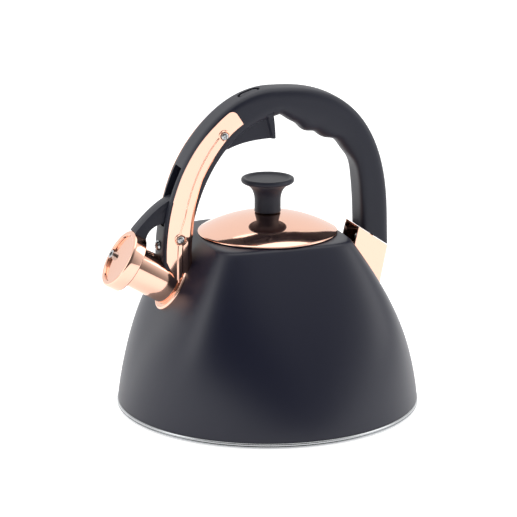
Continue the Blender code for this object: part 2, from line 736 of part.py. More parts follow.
def make_levers(material, steel):
    centre = lever_path()
    pin_x, pin_z = lever_pin()
    pin = (pin_x, 0.0, pin_z)
    ahead = np.gradient(centre, axis=0)
    ahead /= np.linalg.norm(ahead, axis=1)[:, None]
    left = np.column_stack([-ahead[:, 1], ahead[:, 0]]) * LEVER_THICK / 2
    heading = np.arctan2(ahead[-1][1], ahead[-1][0])
    tip = arc(LEVER_TIP, LEVER_TIP_RADIUS, heading + np.pi / 2, heading - np.pi / 2, 7)
    back = np.arctan2(-ahead[0][1], -ahead[0][0])
    hub = arc((pin_x, pin_z), 3.2, back + np.pi / 2 + 0.5, back - np.pi / 2 - 0.5, 9)
    outline = [*(centre + left)[1:-1], *tip, *(centre - left)[1:-1][::-1], *hub]
    lever = prism("thumb_lever", outline, -LEVER_HALF, LEVER_HALF, material, pin)
    cut(lever, rod("cut_lever_pin", (pin_x, -9, pin_z), (pin_x, 9, pin_z), PIN_RADIUS + PIN_GAP,
                   sides=16))
    rod("thumb_lever_pin", (pin_x, -PIN_HALF, pin_z), (pin_x, PIN_HALF, pin_z), PIN_RADIUS, steel,
        16)
    make_spring(steel, pin_x, pin_z)


def make_spring(material, x, z):
    """A torsion spring round the lever's pin, with a leg on the lever's side and one behind."""
    radius, wire, turns = 3.6, 0.35, 2.25
    start = LEVER_HALF + 0.75
    turn = np.linspace(0, 2 * np.pi * turns, int(turns * 16) + 1)
    coil = np.column_stack([x + radius * np.cos(turn), start + turn / (2 * np.pi) * 0.75,
                            z + radius * np.sin(turn)])
    leg_in = coil[0] + np.array([0, 0, -3.0])
    leg_out = coil[-1] + np.array([-6.0, 0, 0.0])
    points = np.concatenate([[leg_in], coil, [leg_out]]) * MM
    curve = bpy.data.curves.new("thumb_lever_spring", "CURVE")
    curve.dimensions = "3D"
    curve.bevel_depth = wire * MM
    curve.bevel_resolution = 1
    curve.use_fill_caps = True
    spline = curve.splines.new("POLY")
    spline.points.add(len(points) - 1)
    spline.points.foreach_set("co", np.column_stack([points, np.ones(len(points))]).ravel())
    curve.materials.append(material)
    obj = bpy.data.objects.new("thumb_lever_spring", curve)
    bpy.context.scene.collection.objects.link(obj)


def arm_outline():
    """The curved arm with its hub and its tail, in the XZ plane."""
    hub_x, hub_z = SPOUT_PIN
    cap_front = spout_point(CAP_FACE, CAP_RADIUS - 1.6)
    cap_back = spout_point(CAP_FACE - CAP_DEPTH + 0.4, CAP_RADIUS - 1.6)
    front_top = spout_point(CAP_FACE, CAP_RADIUS + 0.8)
    outer = bezier((hub_x, hub_z + HUB_RADIUS + 0.2), ARM_PULL, (front_top[0], front_top[2]), 9)
    under = bezier((cap_back[0], cap_back[2]), (-92.5, 142.0), (-79.5, 143.5), 7)
    tail_end = (hub_x + TAIL_LENGTH * np.cos(TAIL_ANGLE), hub_z + TAIL_LENGTH * np.sin(TAIL_ANGLE))
    tail = arc(tail_end, TAIL_RADIUS, TAIL_ANGLE - np.pi / 2, TAIL_ANGLE + np.pi / 2, 7)
    hub = arc(SPOUT_PIN, HUB_RADIUS, np.radians(-130), TAIL_ANGLE - 0.5, 7)
    notch = (hub_x + HUB_RADIUS * np.cos(TAIL_ANGLE + 0.5), hub_z + HUB_RADIUS
             * np.sin(TAIL_ANGLE + 0.5))
    return [*outer, (cap_front[0], cap_front[2]), *under, *hub, *tail, notch]


def make_spout_lever(material, steel):
    arm = prism("spout_lever", arm_outline(), -ARM_HALF, ARM_HALF, material, pin_centre())
    x, z = SPOUT_PIN
    cut(arm,
        rod("cut_cap_seat", spout_point(20), spout_point(60), CAP_RADIUS + GAP, sides=48),
        rod("cut_arm_pin", (x, -9, z), (x, 9, z), PIN_RADIUS + PIN_GAP, sides=16))
    for sign, side in ((-1, "left"), (1, "right")):
        low, high = sorted((sign * LEVER_HALF, sign * 9.0))
        cut(arm, prism("cut_tail_" + side,
                       [(x + 2.6, z - 8), (x + 14, z - 8), (x + 14, z + 16), (x - 2.6, z + 16),
                        (x + 2.6, z + 5.6)], low, high))
    rod("spout_lever_pin", (x, -PIN_HALF, z), (x, PIN_HALF, z), PIN_RADIUS, steel, 16)
    return arm


# ---------------------------------------------------------------- brackets
def make_front_bracket(material):
    inner = BRACKET_OUT - BRACKET_SHEET
    back_off = -HANDLE_DEPTH / 2 - 0.4
    path = stations(("z", FRONT_BASE_Z), ("z", BRACKET_BACK_TOP_Z))
    foot = path[0]
    path = [(foot[0] + np.array([0.0, -22.0]), foot[1]), *path]
    bracket = swept("front_bracket", path,
                    box_section(back_off - BRACKET_SHEET, back_off, BRACKET_OUT), material)
    join(bracket,
         prism("add_plate_left", bracket_outline(0.0), -BRACKET_OUT + 0.01, -inner),
         prism("add_plate_right", bracket_outline(0.0), inner, BRACKET_OUT - 0.01))
    cut(bracket,
        body_solid("cut_bracket_foot", GAP), *spout_cutters("cut_bracket"))
    for level, (x, z) in BRACKET_SCREWS.items():
        cut(bracket, rod("cut_bracket_" + level, (x, -20, z), (x, 20, z), SCREW_RADIUS + GAP,
                         sides=12))


def rear_bracket_outlines():
    """(side plate, outer wall) of the rear bracket. Both run into the body, which trims them."""
    (x0, z0), (x1, z1) = REAR_CUT
    slope = (z1 - z0) / (x1 - x0)
    outer = [(x1 - 0.6, z1 + 0.4), (x1 - 4.4, 88.0), (x1 - 9.5, 72.0)]
    top = [(x0 + 0.6, z0 + slope * 0.6 - GAP), (outer[0][0], z0 + slope * (outer[0][0] - x0) - GAP)]
    side = [top[0], top[1], outer[1], outer[2], (x0 - 6.0, 96.0), (x0 - 2.0, 120.0)]
    inward = np.array([-BRACKET_SHEET, 0.0])
    wall = [top[1], outer[1], outer[2], np.array(outer[2]) + inward * 1.2,
            np.array(outer[1]) + inward, np.array(top[1]) + inward + np.array([0, -slope
                                                                               * BRACKET_SHEET])]
    return side, wall


def make_rear_bracket(material):
    inner = BRACKET_OUT - BRACKET_SHEET
    side, wall = rear_bracket_outlines()
    bracket = prism("rear_bracket", wall, -BRACKET_OUT + 0.4, BRACKET_OUT - 0.4, material)
    join(bracket,
         prism("add_rear_left", side, -BRACKET_OUT, -inner),
         prism("add_rear_right", side, inner, BRACKET_OUT))
    cut(bracket, body_solid("cut_rear_foot", GAP),
        rod("cut_rear_hole", (60.0, 0, rear_screw_z()), (99.0, 0, rear_screw_z()),
            SCREW_RADIUS + GAP, sides=12))


# ---------------------------------------------------------------- fasteners
def screw(name, seat, inward, length, material, head=SCREW_HEAD_RADIUS, height=SCREW_HEAD_HEIGHT,
          origin=(0.0, 0.0, 0.0)):
    """A pan-head screw. The seat is the point under its head, and inward is its direction."""
    axis = np.asarray(inward, float) / np.linalg.norm(inward)
    across = np.cross(axis, (0, 1, 0) if abs(axis[1]) < 0.9 else (1, 0, 0))
    across /= np.linalg.norm(across)
    frame = (np.asarray(seat, float), across, np.cross(axis, across), axis)
    profile = [(0, -height), (head * 0.6, -height * 0.96), (head * 0.92, -height * 0.6),
               (head, 0), (SCREW_RADIUS, 0), (SCREW_RADIUS, length), (0, length)]
    return turned(name, profile, material, frame, 14, origin)


def rear_screw_z():
    return REAR_CUT[0][1] - 12.0


def make_screws(steel):
    for level, (x, z) in BRACKET_SCREWS.items():
        for sign, side in ((-1, "left"), (1, "right")):
            screw(f"bracket_screw_{level}_{side}", (x, sign * (BRACKET_OUT + GAP * 0.5), z),
                  (0, -sign, 0), BRACKET_OUT - CHANNEL_HALF - 1.4, steel)
    x, z = cover_front(COVER_SCREW_Z)
    screw("lever_cover_screw", (x - 0.2, 0, z), (1, 0, 0), 7.0, steel)
    for name, (gx, _, gz), direction in grip_screws():
        out = np.array([direction[0], 0, direction[1]])
        screw(name, np.array([gx, 0, gz]) - out * 1.6, out, 8.0, steel)
    tongue_x = REAR_CUT[0][0] + 4.6
    screw("rear_bracket_screw", (tongue_x - GAP, 0, rear_screw_z()), (1, 0, 0), 12.0, steel)


# ---------------------------------------------------------------- lid
def dome_z(radius, drop=0.0):
    """Height of the lid's spherical face at a radius, or of a face a distance inside it."""
    sphere = (LID_RADIUS ** 2 + LID_RISE ** 2) / (2 * LID_RISE)
    centre = lid_rim_z() + LID_RISE - sphere
    return centre + np.sqrt((sphere - drop) ** 2 - radius ** 2)


def lid_rim_z():
    return PLATEAU_Z + GAP + 1.1


def make_lid(metal, steel, knob_material):
    rim = lid_rim_z()
    bore = KNOB_BORE + 0.2
    radii = np.linspace(bore, LID_RADIUS, 8)
    outer = [(r, dome_z(r)) for r in radii]
    inner = [(r, dome_z(r, LID_SHEET)) for r in np.linspace(LID_RADIUS - 1.2, bore, 7)]
    turned("lid_cover", [*outer, (LID_RADIUS, rim - 0.7), (LID_RADIUS - 0.4, rim - 1.0),
                         (LID_RADIUS - 1.1, rim - 0.9), *inner], metal, sides=60)
    outside = NECK_RADIUS - SKIRT_GAP
    top = dome_z(outside, LID_SHEET) - GAP
    low = top - SKIRT_DEPTH
    skirt = turned("lid_skirt", [
        (outside, low), (outside, top), (outside - 6.5, top), (outside - 6.5, top - LID_SHEET),
        (outside - LID_SHEET, top - LID_SHEET), (outside - LID_SHEET, low)], steel, sides=56)
    for sign, side in ((-1, "left"), (1, "right")):
        cut(skirt, rod("cut_vent_" + side, (0, sign * 30, low + 5), (0, sign * 50, low + 5),
                       VENT_RADIUS, sides=16))
    make_knob(knob_material, steel)


def make_knob(material, steel):
    base = dome_z(0.0) + GAP
    top = base + KNOB_HEIGHT
    stem, rim = KNOB_STEM_RADIUS, KNOB_RADIUS
    turned("lid_knob", [
        (0, base + KNOB_BORE_DEPTH), (KNOB_BORE, base + KNOB_BORE_DEPTH), (KNOB_BORE, base),
        (stem + 0.1, base), (stem, base + 4.5), (stem, base + 9.5), (stem + 0.8, top - 12.0),
        (stem + 2.6, top - 8.4), (stem + 5.4, top - 5.5), (rim - 2.0, top - 3.7),
        (rim - 0.4, top - 2.7), (rim, top - 1.6), (rim - 0.4, top - 0.5), (rim - 1.4, top),
        (rim - 2.6, top - 0.1), (rim - 6.0, top - 1.1), (rim - 13.0, top - 1.7), (0, top - 1.8)],
        material, sides=40)
    under = dome_z(0.0, LID_SHEET) - GAP
    washer_outer = 6.5
    washer_top = dome_z(washer_outer, LID_SHEET) - 0.1
    washer_low = washer_top - 0.8
    turned("knob_washer", ring_profile(SCREW_RADIUS + GAP, washer_outer, washer_low, washer_top),
           steel, sides=24)
    screw("knob_screw", (0, 0, washer_low - GAP * 0.5), (0, 0, 1),
          KNOB_BORE_DEPTH - 2.0 + (under - washer_low), steel, 3.4, 1.8)


def main():
    clear_scene()
    navy_paint = finish("navy_paint", (0.018, 0.021, 0.042), 0.42, 0.0)
    navy_plastic = finish("navy_plastic", (0.020, 0.023, 0.040), 0.55, 0.0)
    rose_gold = finish("rose_gold_plate", (0.93, 0.62, 0.50), 0.08, 1.0)
    steel = finish("stainless_steel", (0.72, 0.72, 0.71), 0.22, 1.0)
    aluminium = finish("aluminium", (0.80, 0.80, 0.80), 0.45, 1.0)
    make_body(navy_paint)
    make_base(steel, aluminium, steel)
    make_spout(rose_gold)
    make_whistle(rose_gold, rose_gold)
    make_handle(navy_plastic, navy_plastic)
    make_button(navy_plastic)
    make_levers(navy_plastic, steel)
    make_spout_lever(navy_plastic, steel)
    make_front_bracket(rose_gold)
    make_rear_bracket(rose_gold)
    make_screws(steel)
    make_lid(rose_gold, steel, navy_plastic)


main()
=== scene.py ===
"""Looks of a stovetop whistling kettle: enamelled body, rose gold metalwork, soft-touch handle.

Sizes are in millimetres in the part's own frame: the origin is the centre of the base's
underside, +Z is up, the spout points to -X and the handle is an arch in the XZ plane. put_mesh
turns points into Blender's metres.
"""

import logging
from collections.abc import Mapping, Sequence
from dataclasses import dataclass
from enum import Enum

import bmesh
import bpy
import numpy as np
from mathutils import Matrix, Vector


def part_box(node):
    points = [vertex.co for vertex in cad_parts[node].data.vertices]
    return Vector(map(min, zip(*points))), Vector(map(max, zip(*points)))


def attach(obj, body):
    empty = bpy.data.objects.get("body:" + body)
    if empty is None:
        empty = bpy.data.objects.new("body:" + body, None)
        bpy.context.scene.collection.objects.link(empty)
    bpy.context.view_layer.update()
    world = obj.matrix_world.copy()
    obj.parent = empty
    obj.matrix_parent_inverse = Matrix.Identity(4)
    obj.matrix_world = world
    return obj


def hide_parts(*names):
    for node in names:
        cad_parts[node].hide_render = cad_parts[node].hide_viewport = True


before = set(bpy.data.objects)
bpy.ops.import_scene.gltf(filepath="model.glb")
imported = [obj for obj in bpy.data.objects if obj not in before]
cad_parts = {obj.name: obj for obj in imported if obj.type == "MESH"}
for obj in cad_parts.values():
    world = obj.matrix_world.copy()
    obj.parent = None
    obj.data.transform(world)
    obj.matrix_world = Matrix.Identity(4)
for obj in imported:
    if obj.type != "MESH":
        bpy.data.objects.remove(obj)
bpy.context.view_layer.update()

log = logging.getLogger("kettle")
MM = 0.001
Array = np.ndarray
FULL_TURN = 2 * np.pi


# ---------------------------------------------------------------- finishes
class Grain(Enum):
    """How a surface was made, which decides its fine pattern."""

    SPRAYED = "sprayed"
    MOULDED = "moulded"
    POLISHED = "polished"
    SPUN = "spun"


def linear(colour: str) -> tuple[float, float, float, float]:
    """Turns an sRGB hex colour to linear RGBA.

    Args:
        colour: Six hex digits with a leading hash.

    Returns:
        The linear colour with an alpha of 1.
    """
    parts = np.array([int(colour[i:i + 2], 16) for i in (1, 3, 5)]) / 255
    value = np.where(parts <= 0.04045, parts / 12.92, ((parts + 0.055) / 1.055) ** 2.4)
    return (*value.tolist(), 1.0)


def add_node(tree: bpy.types.NodeTree, kind: str, settings: Mapping[str, object],
             inputs: Mapping[str, object]) -> bpy.types.Node:
    """Adds a node, sets its properties, and fills or links its inputs.

    Args:
        tree: The node tree.
        kind: The node's type name.
        settings: Property names and values.
        inputs: Socket names, with a value or an output socket to link.

    Returns:
        The new node.
    """
    node = tree.nodes.new(kind)
    for name, value in settings.items():
        setattr(node, name, value)
    for name, value in inputs.items():
        socket = node.inputs[name]
        if isinstance(value, bpy.types.NodeSocket):
            tree.links.new(value, socket)
        else:
            socket.default_value = value
    return node


@dataclass(frozen=True)
class Finish:
    """A surface finish: its colour, its gloss and its fine grain."""

    name: str
    colour: str
    roughness: float
    metallic: float = 0.0
    grain: Grain = Grain.POLISHED
    grain_mm: float = 1.0
    grain_depth_mm: float = 0.0
    spread: float = 0.0
    coat: float = 0.0
    coat_roughness: float = 0.1
    sheen: float = 0.0
    ior: float = 1.5

    def material(self) -> bpy.types.Material:
        """Builds the node material."""
        material = bpy.data.materials.new(self.name)
        material.use_nodes = True
        tree = material.node_tree
        shader = tree.nodes["Principled BSDF"]
        fixed = {"Base Color": linear(self.colour), "Roughness": self.roughness,
                 "Metallic": self.metallic, "Coat Weight": self.coat,
                 "Coat Roughness": self.coat_roughness, "Sheen Weight": self.sheen}
        if not self.metallic:
            fixed["IOR"] = self.ior
        for name, value in fixed.items():
            shader.inputs[name].default_value = value
        place = add_node(tree, "ShaderNodeTexCoord", {}, {}).outputs["Object"]
        stretch = (1.0, 1.0, 24.0) if self.grain is Grain.SPUN else (1.0, 1.0, 1.0)
        scaled = add_node(tree, "ShaderNodeMapping", {}, {"Vector": place, "Scale": stretch})
        noise = add_node(tree, "ShaderNodeTexNoise", {}, {
            "Vector": scaled.outputs["Vector"], "Scale": 1000 / self.grain_mm, "Detail": 2.0})
        if self.spread:
            gloss = add_node(tree, "ShaderNodeMapRange", {}, {
                "Value": noise.outputs["Fac"], "From Min": 0.3, "From Max": 0.7,
                "To Min": self.roughness - self.spread, "To Max": self.roughness + self.spread})
            tree.links.new(gloss.outputs["Result"], shader.inputs["Roughness"])
        if self.grain_depth_mm:
            bump = add_node(tree, "ShaderNodeBump", {}, {
                "Height": noise.outputs["Fac"], "Distance": self.grain_depth_mm * MM,
                "Strength": 1.0})
            tree.links.new(bump.outputs["Normal"], shader.inputs["Normal"])
        return material


# Sprayed and baked enamel paint on steel: a deep navy with a soft satin shine.
NAVY_ENAMEL = Finish("navy_satin_enamel", "#0d1026", 0.38, 0.0, Grain.SPRAYED, 0.9, 0.0015, 0.012,
                     ior=1.5)
# Nylon with a soft-touch coat, moulded with a very fine spark finish: almost no shine.
SOFT_TOUCH = Finish("navy_soft_touch_nylon", "#0e1124", 0.5, 0.0, Grain.MOULDED, 0.5, 0.004,
                    0.03, sheen=0.08, ior=1.46)
# Bare glass-filled nylon inside the handle: duller and darker than the coated outside.
BARE_NYLON = Finish("navy_bare_nylon", "#0e111b", 0.6, 0.0, Grain.MOULDED, 0.6, 0.004, 0.03)
# Rose gold plate over polished steel: a warm pink mirror.
ROSE_GOLD = Finish("rose_gold_plated_steel", "#f8c8b2", 0.07, 1.0)
# Stamped stainless steel, polished on a wheel.
BRIGHT_STEEL = Finish("polished_stainless_steel", "#b9bbbd", 0.2, 1.0, Grain.SPUN, 1.4, 0.0, 0.03)
# Drawn stainless steel as it leaves the press: the skirt, the pan and the washer.
DULL_STEEL = Finish("drawn_stainless_steel", "#c4c5c6", 0.3, 1.0, Grain.SPUN, 1.0, 0.0, 0.04)
# Rolled aluminium disc.
ALUMINIUM = Finish("rolled_aluminium", "#cfd0d1", 0.42, 1.0, Grain.SPUN, 0.8, 0.0, 0.04)


# ---------------------------------------------------------------- meshes
def grid_faces(rows: int, columns: int, wrap_rows: bool, wrap_columns: bool) -> Array:
    """Quads of a grid of points, as an array of four indices each."""
    down = np.arange(rows if wrap_rows else rows - 1)[:, None]
    across = np.arange(columns if wrap_columns else columns - 1)[None, :]
    below, beside = (down + 1) % rows, (across + 1) % columns
    corners = [down * columns + across, down * columns + beside,
               below * columns + beside, below * columns + across]
    return np.stack(corners, axis=-1).reshape(-1, 4)


def put_mesh(name: str, points: Array, faces: Array, finish: bpy.types.Material,
             sharp: float = 40.0, ends: bool = False) -> bpy.types.Object:
    """Makes an object from millimetre points, with merged doubles and outward normals.

    Args:
        name: The object's name.
        points: Points, with x, y and z in the last axis.
        faces: Quads, as indices of the flattened points.
        finish: The material.
        sharp: Edges turned by more than this many degrees stay sharp.
        ends: Whether to close the open rims with flat faces.

    Returns:
        The new object, at the origin.
    """
    mesh = bpy.data.meshes.new(name)
    mesh.from_pydata((points.reshape(-1, 3) * MM).tolist(), [], faces.tolist())
    solid = bmesh.new()
    solid.from_mesh(mesh)
    bmesh.ops.remove_doubles(solid, verts=solid.verts, dist=2e-6)
    if ends:
        rims = [edge for edge in solid.edges if edge.is_boundary]
        bmesh.ops.holes_fill(solid, edges=rims, sides=0)
    bmesh.ops.recalc_face_normals(solid, faces=solid.faces)
    solid.to_mesh(mesh)
    solid.free()
    mesh.materials.append(finish)
    mesh.shade_smooth()
    mesh.set_sharp_from_angle(angle=np.radians(sharp))
    obj = bpy.data.objects.new(name, mesh)
    bpy.context.scene.collection.objects.link(obj)
    return obj


def settle(obj: bpy.types.Object, sharp: float = 40.0) -> bpy.types.Object:
    """Applies the object's modifiers, so that its mesh holds the finished shape."""
    graph = bpy.context.evaluated_depsgraph_get()
    mesh = bpy.data.meshes.new_from_object(obj.evaluated_get(graph))
    obj.modifiers.clear()
    obj.data = mesh
    mesh.shade_smooth()
    mesh.set_sharp_from_angle(angle=np.radians(sharp))
    return obj


def carve(obj: bpy.types.Object, *cutters: bpy.types.Object, sharp: float = 40.0) -> None:
    """Cuts the cutters out of the object and deletes them."""
    for cutter in cutters:
        modifier = obj.modifiers.new(cutter.name, "BOOLEAN")
        modifier.operation = "DIFFERENCE"
        modifier.solver = "EXACT"
        modifier.object = cutter
    settle(obj, sharp)
    for cutter in cutters:
        bpy.data.objects.remove(cutter, do_unlink=True)


def soften(obj: bpy.types.Object, width: float, angle: float = 35.0, steps: int = 3) -> None:
    """Rounds the sharp edges to a width in millimetres."""
    bevel = obj.modifiers.new("edges", "BEVEL")
    bevel.width = width * MM
    bevel.segments = steps
    bevel.limit_method = "ANGLE"
    bevel.angle_limit = np.radians(angle)
    settle(obj, 50.0)


def rounded(outline: Array, radius: float | Array, steps: int = 5, closed: bool = True) -> Array:
    """Rounds the corners of an outline. Each corner becomes a quadratic curve from a point on
    one side of it to a point on the other, no further than 0.45 of the side away.

    Args:
        outline: Corner points.
        radius: How far from each corner the curve starts, for all corners or for each.
        steps: Points in each curve.
        closed: Whether the outline joins its own start.

    Returns:
        The rounded outline.
    """
    points = np.asarray(outline, float)
    before, after = np.roll(points, 1, axis=0) - points, np.roll(points, -1, axis=0) - points
    reach = np.broadcast_to(np.asarray(radius, float), (len(points),)).copy()
    if not closed:
        reach[[0, -1]] = 0.0
    long_before, long_after = (np.maximum(np.linalg.norm(side, axis=1), 1e-9)
                               for side in (before, after))
    start = points + before * (np.minimum(reach, 0.45 * long_before) / long_before)[:, None]
    end = points + after * (np.minimum(reach, 0.45 * long_after) / long_after)[:, None]
    t = np.linspace(0, 1, steps)[None, :, None]
    curve = ((1 - t) ** 2 * start[:, None] + 2 * t * (1 - t) * points[:, None]
             + t ** 2 * end[:, None])
    flat = curve.reshape(-1, points.shape[1])
    step = np.linalg.norm(np.diff(flat, axis=0, prepend=flat[-1:] + 1.0), axis=1)
    return flat[step > 1e-4]


def curve(start: Sequence[float], pull: Sequence[float], end: Sequence[float],
          steps: int) -> Array:
    """A quadratic curve: (1-t)^2 start + 2t(1-t) pull + t^2 end, for t from 0 to 1."""
    t = np.linspace(0, 1, steps)[:, None]
    start, pull, end = (np.asarray(point, float) for point in (start, pull, end))
    return (1 - t) ** 2 * start + 2 * t * (1 - t) * pull + t ** 2 * end


@dataclass(frozen=True)
class Axis:
    """A place and three directions at right angles, for pieces turned on a lathe."""

    start: Array
    across: Array
    side: Array
    ahead: Array

    def at(self, along: Array | float, across: Array | float = 0.0,
           side: Array | float = 0.0) -> Array:
        """Points at distances along and beside the axis."""
        along, across, side = np.broadcast_arrays(along, across, side)
        return (self.start + along[..., None] * self.ahead + across[..., None] * self.across
                + side[..., None] * self.side)


UPRIGHT = Axis(np.zeros(3), np.array([1.0, 0, 0]), np.array([0, 1.0, 0]), np.array([0, 0, 1.0]))


def axis_to(start: Sequence[float], ahead: Sequence[float]) -> Axis:
    """An axis from a start point in a direction, with any turn about itself."""
    forward = np.asarray(ahead, float) / np.linalg.norm(ahead)
    across = np.cross(forward, (0, 1, 0) if abs(forward[1]) < 0.9 else (1, 0, 0))
    across /= np.linalg.norm(across)
    return Axis(np.asarray(start, float), across, np.cross(forward, across), forward)


def turned(name: str, profile: Array, finish: bpy.types.Material, axis: Axis = UPRIGHT,
           sides: int = 128, sharp: float = 40.0) -> bpy.types.Object:
    """A solid of revolution. A profile point (r, h) goes to the points at height h along the
    axis whose distance from it is r, at every angle. The profile is a closed outline, and the
    points with a radius of 0 merge into one.

    Args:
        name: The object's name.
        profile: Radius and height of each outline point, with the start not repeated.
        finish: The material.
        axis: The lathe's axis.
        sides: Points round the axis.
        sharp: Edges turned by more than this many degrees stay sharp.

    Returns:
        The new object.
    """
    outline = np.asarray(profile, float)
    angle = np.linspace(0, FULL_TURN, sides, endpoint=False)[None, :]
    radius, height = outline[:, :1], outline[:, 1:]
    points = axis.at(height + 0 * angle, radius * np.cos(angle), radius * np.sin(angle))
    return put_mesh(name, points, grid_faces(len(outline), sides, True, True), finish, sharp)


def rod(name: str, start: Array, end: Array, radius: float, finish: bpy.types.Material,
        sides: int = 48) -> bpy.types.Object:
    """A straight round rod between two points."""
    length = float(np.linalg.norm(np.asarray(end) - np.asarray(start)))
    profile = [(0, 0), (radius, 0), (radius, length), (0, length)]
    axis = axis_to(start, np.asarray(end, float) - np.asarray(start, float))
    return turned(name, np.array(profile), finish, axis, sides)


def prism(name: str, outline: Array, half: float, finish: bpy.types.Material,
          middle: float = 0.0) -> bpy.types.Object:
    """An outline in the XZ plane, carried from -half to +half along Y about a middle."""
    outline = np.asarray(outline, float)
    rings = np.stack([np.column_stack([outline[:, 0], np.full(len(outline), middle + y),
                                       outline[:, 1]]) for y in (-half, half)])
    return put_mesh(name, rings, grid_faces(2, len(outline), False, True), finish, ends=True)


def smoothstep(value: Array | float, low: float, high: float) -> Array:
    """A smooth rise from 0 at low to 1 at high: 3t^2 - 2t^3 of the clipped share t."""
    share = np.clip((np.asarray(value, float) - low) / (high - low), 0.0, 1.0)
    return share * share * (3 - 2 * share)


def smooth_max(first: Array, second: Array, blend: float) -> Array:
    """The larger of two values, with a fillet of the given size where they cross."""
    near = np.maximum(blend - np.abs(first - second), 0.0) / blend
    return np.maximum(first, second) + near * near * blend / 4


# ---------------------------------------------------------------- body
@dataclass
class Body:
    """The enamelled body: round at the foot and a rounded square at the shoulder."""

    foot_radius: float = 111.5
    foot_z: float = 4.2
    flank_top: float = 126.0
    shoulder_half: float = 53.3
    shoulder_power: float = 6.5
    flank_power: float = 1.58
    flank_fullness: float = 0.1
    power_rise: float = 2.05
    plateau_z: float = 129.0
    edge_round: float = 4.0
    neck_radius: float = 43.8
    neck_depth: float = 8.0
    wall: float = 1.2
    sides: int = 288

    def half(self, z: Array | float) -> Array:
        """Half width across the flats: it falls from the foot radius to the shoulder with a
        power of the height's share, made a little fuller low down."""
        share = np.clip(np.asarray(z, float) / self.flank_top, 0.0, 1.2)
        fall = share ** self.flank_power * (1 + self.flank_fullness * (1 - share))
        return self.foot_radius - (self.foot_radius - self.shoulder_half) * fall

    def power(self, z: Array | float) -> Array:
        """The section's superellipse power: 2 is a circle, and it rises to the shoulder."""
        share = np.clip((np.asarray(z, float) + 2) / (self.flank_top + 2), 0.0, 1.0)
        return 2 + (self.shoulder_power - 2) * share ** self.power_rise

    def rings(self, half: Array, power: Array, z: Array) -> Array:
        """Closed sections: x and y are half width times cosine and sine, divided by the
        power-mean of their sizes."""
        angle = np.linspace(0, FULL_TURN, self.sides, endpoint=False)[None, :]
        cos, sin, bend = np.cos(angle), np.sin(angle), power[:, None]
        reach = half[:, None] * (np.abs(cos) ** bend + np.abs(sin) ** bend) ** (-1 / bend)
        return np.stack([reach * cos, reach * sin, z[:, None] + 0 * angle], axis=-1)

    def meet(self, start: Array, ahead: Array, far: float = 60.0) -> Array:
        """Distances from points outside the body, along a direction, to its outer face. It
        halves the range 24 times.

        Args:
            start: Points, with x, y and z in the last axis.
            ahead: One direction.
            far: The greatest distance.

        Returns:
            The distance for each point.
        """
        near, away = np.zeros(start.shape[:-1]), np.full(start.shape[:-1], far)
        for _ in range(24):
            middle = (near + away) / 2
            point = start + middle[..., None] * ahead
            z = np.clip(point[..., 2], 0.0, self.flank_top)
            power = self.power(z)
            size = (np.abs(point[..., 0]) ** power + np.abs(point[..., 1]) ** power) ** (1 / power)
            inside = size < self.half(z)
            near, away = np.where(inside, near, middle), np.where(inside, middle, away)
        return (near + away) / 2

    def outline(self) -> tuple[Array, Array]:
        """The wall's section as (half width, height) points, and the power at each."""
        flank_z = np.linspace(0, 1, 64) ** 0.92 * (self.flank_top - self.foot_z) + self.foot_z
        flank = np.column_stack([self.half(flank_z), flank_z])
        lean = flank[-1] - flank[-2]
        corner = flank[-1] + lean * (self.plateau_z - self.flank_top) / lean[1]
        neck_z, split = self.plateau_z - self.neck_depth, 9
        shoulder = rounded(np.array([flank[-2], corner, [self.neck_radius, self.plateau_z],
                                     [self.neck_radius, neck_z]]),
                           np.array([0, self.edge_round, 1.2, 0]), split, closed=False)
        plateau = np.linspace(0, 1, 9)[1:-1, None]
        filled = shoulder[split] + plateau * (shoulder[split + 1] - shoulder[split])
        shoulder = np.concatenate([shoulder[1:split + 1], filled, shoulder[split + 1:]])
        inner = np.column_stack([self.half(flank_z[::-2]) - self.wall,
                                 flank_z[::-2] - self.wall * (flank_z[::-2] > 100)])
        under = np.array([[self.neck_radius + self.wall, neck_z],
                          [self.neck_radius + self.wall + 0.6, self.plateau_z - self.wall]])
        points = np.concatenate([flank[:-1], shoulder, under, inner])
        flat = self.power(np.minimum(points[:, 1], self.flank_top))
        square = smoothstep(points[:, 0], self.neck_radius + 1.2, corner[0] - 1.0)
        high = points[:, 1] > self.flank_top - 9.0
        power = np.where(high & (points[:, 0] < corner[0] + 0.5), 2 + (flat - 2) * square, flat)
        return points, power

    def build(self, finish: bpy.types.Material, spout: "Spout") -> list[bpy.types.Object]:
        """Builds the body, with the hole that the spout opens into."""
        points, power = self.outline()
        rings = self.rings(points[:, 0], power, points[:, 1])
        body = put_mesh("enamelled_body", rings, grid_faces(len(rings), self.sides, True, True),
                        finish)
        carve(body, rod("bore", spout.axis.at(-12.0), spout.axis.at(12.0), spout.bore, finish))
        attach(body, "kettle")
        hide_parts("body_shell")
        return [body]


@dataclass
class Base:
    """The steel cup that closes the body's foot, with a rolled lip round it."""

    flat_radius: float = 108.5
    radius: float = 112.0
    lip_z: float = 3.9
    sheet: float = 1.1

    def build(self, finish: bpy.types.Material) -> list[bpy.types.Object]:
        """Turns the cup: a flat underside, a rounded foot and a lip with one groove."""
        edge, lip = self.radius, self.lip_z
        profile = np.array([
            (0, 0), (self.flat_radius, 0), (edge - 0.9, 0.25), (edge, 0.9), (edge, 1.55),
            (edge - 1.1, 1.9), (edge, 2.25), (edge, lip - 0.7), (edge - 0.6, lip),
            (edge - 1.7, lip), (edge - 1.6, 2.2), (self.flat_radius - 0.2, self.sheet),
            (0, self.sheet)])
        sizes = np.array([0, 1.5, 0.5, 0.4, 0.15, 0.25, 0.15, 0.4, 0.4, 0.3, 0.6, 1.0, 0])
        cup = turned("base_cup", rounded(profile, sizes, 4), finish, sides=256)
        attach(cup, "kettle")
        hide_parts("base_cap")
        return [cup]


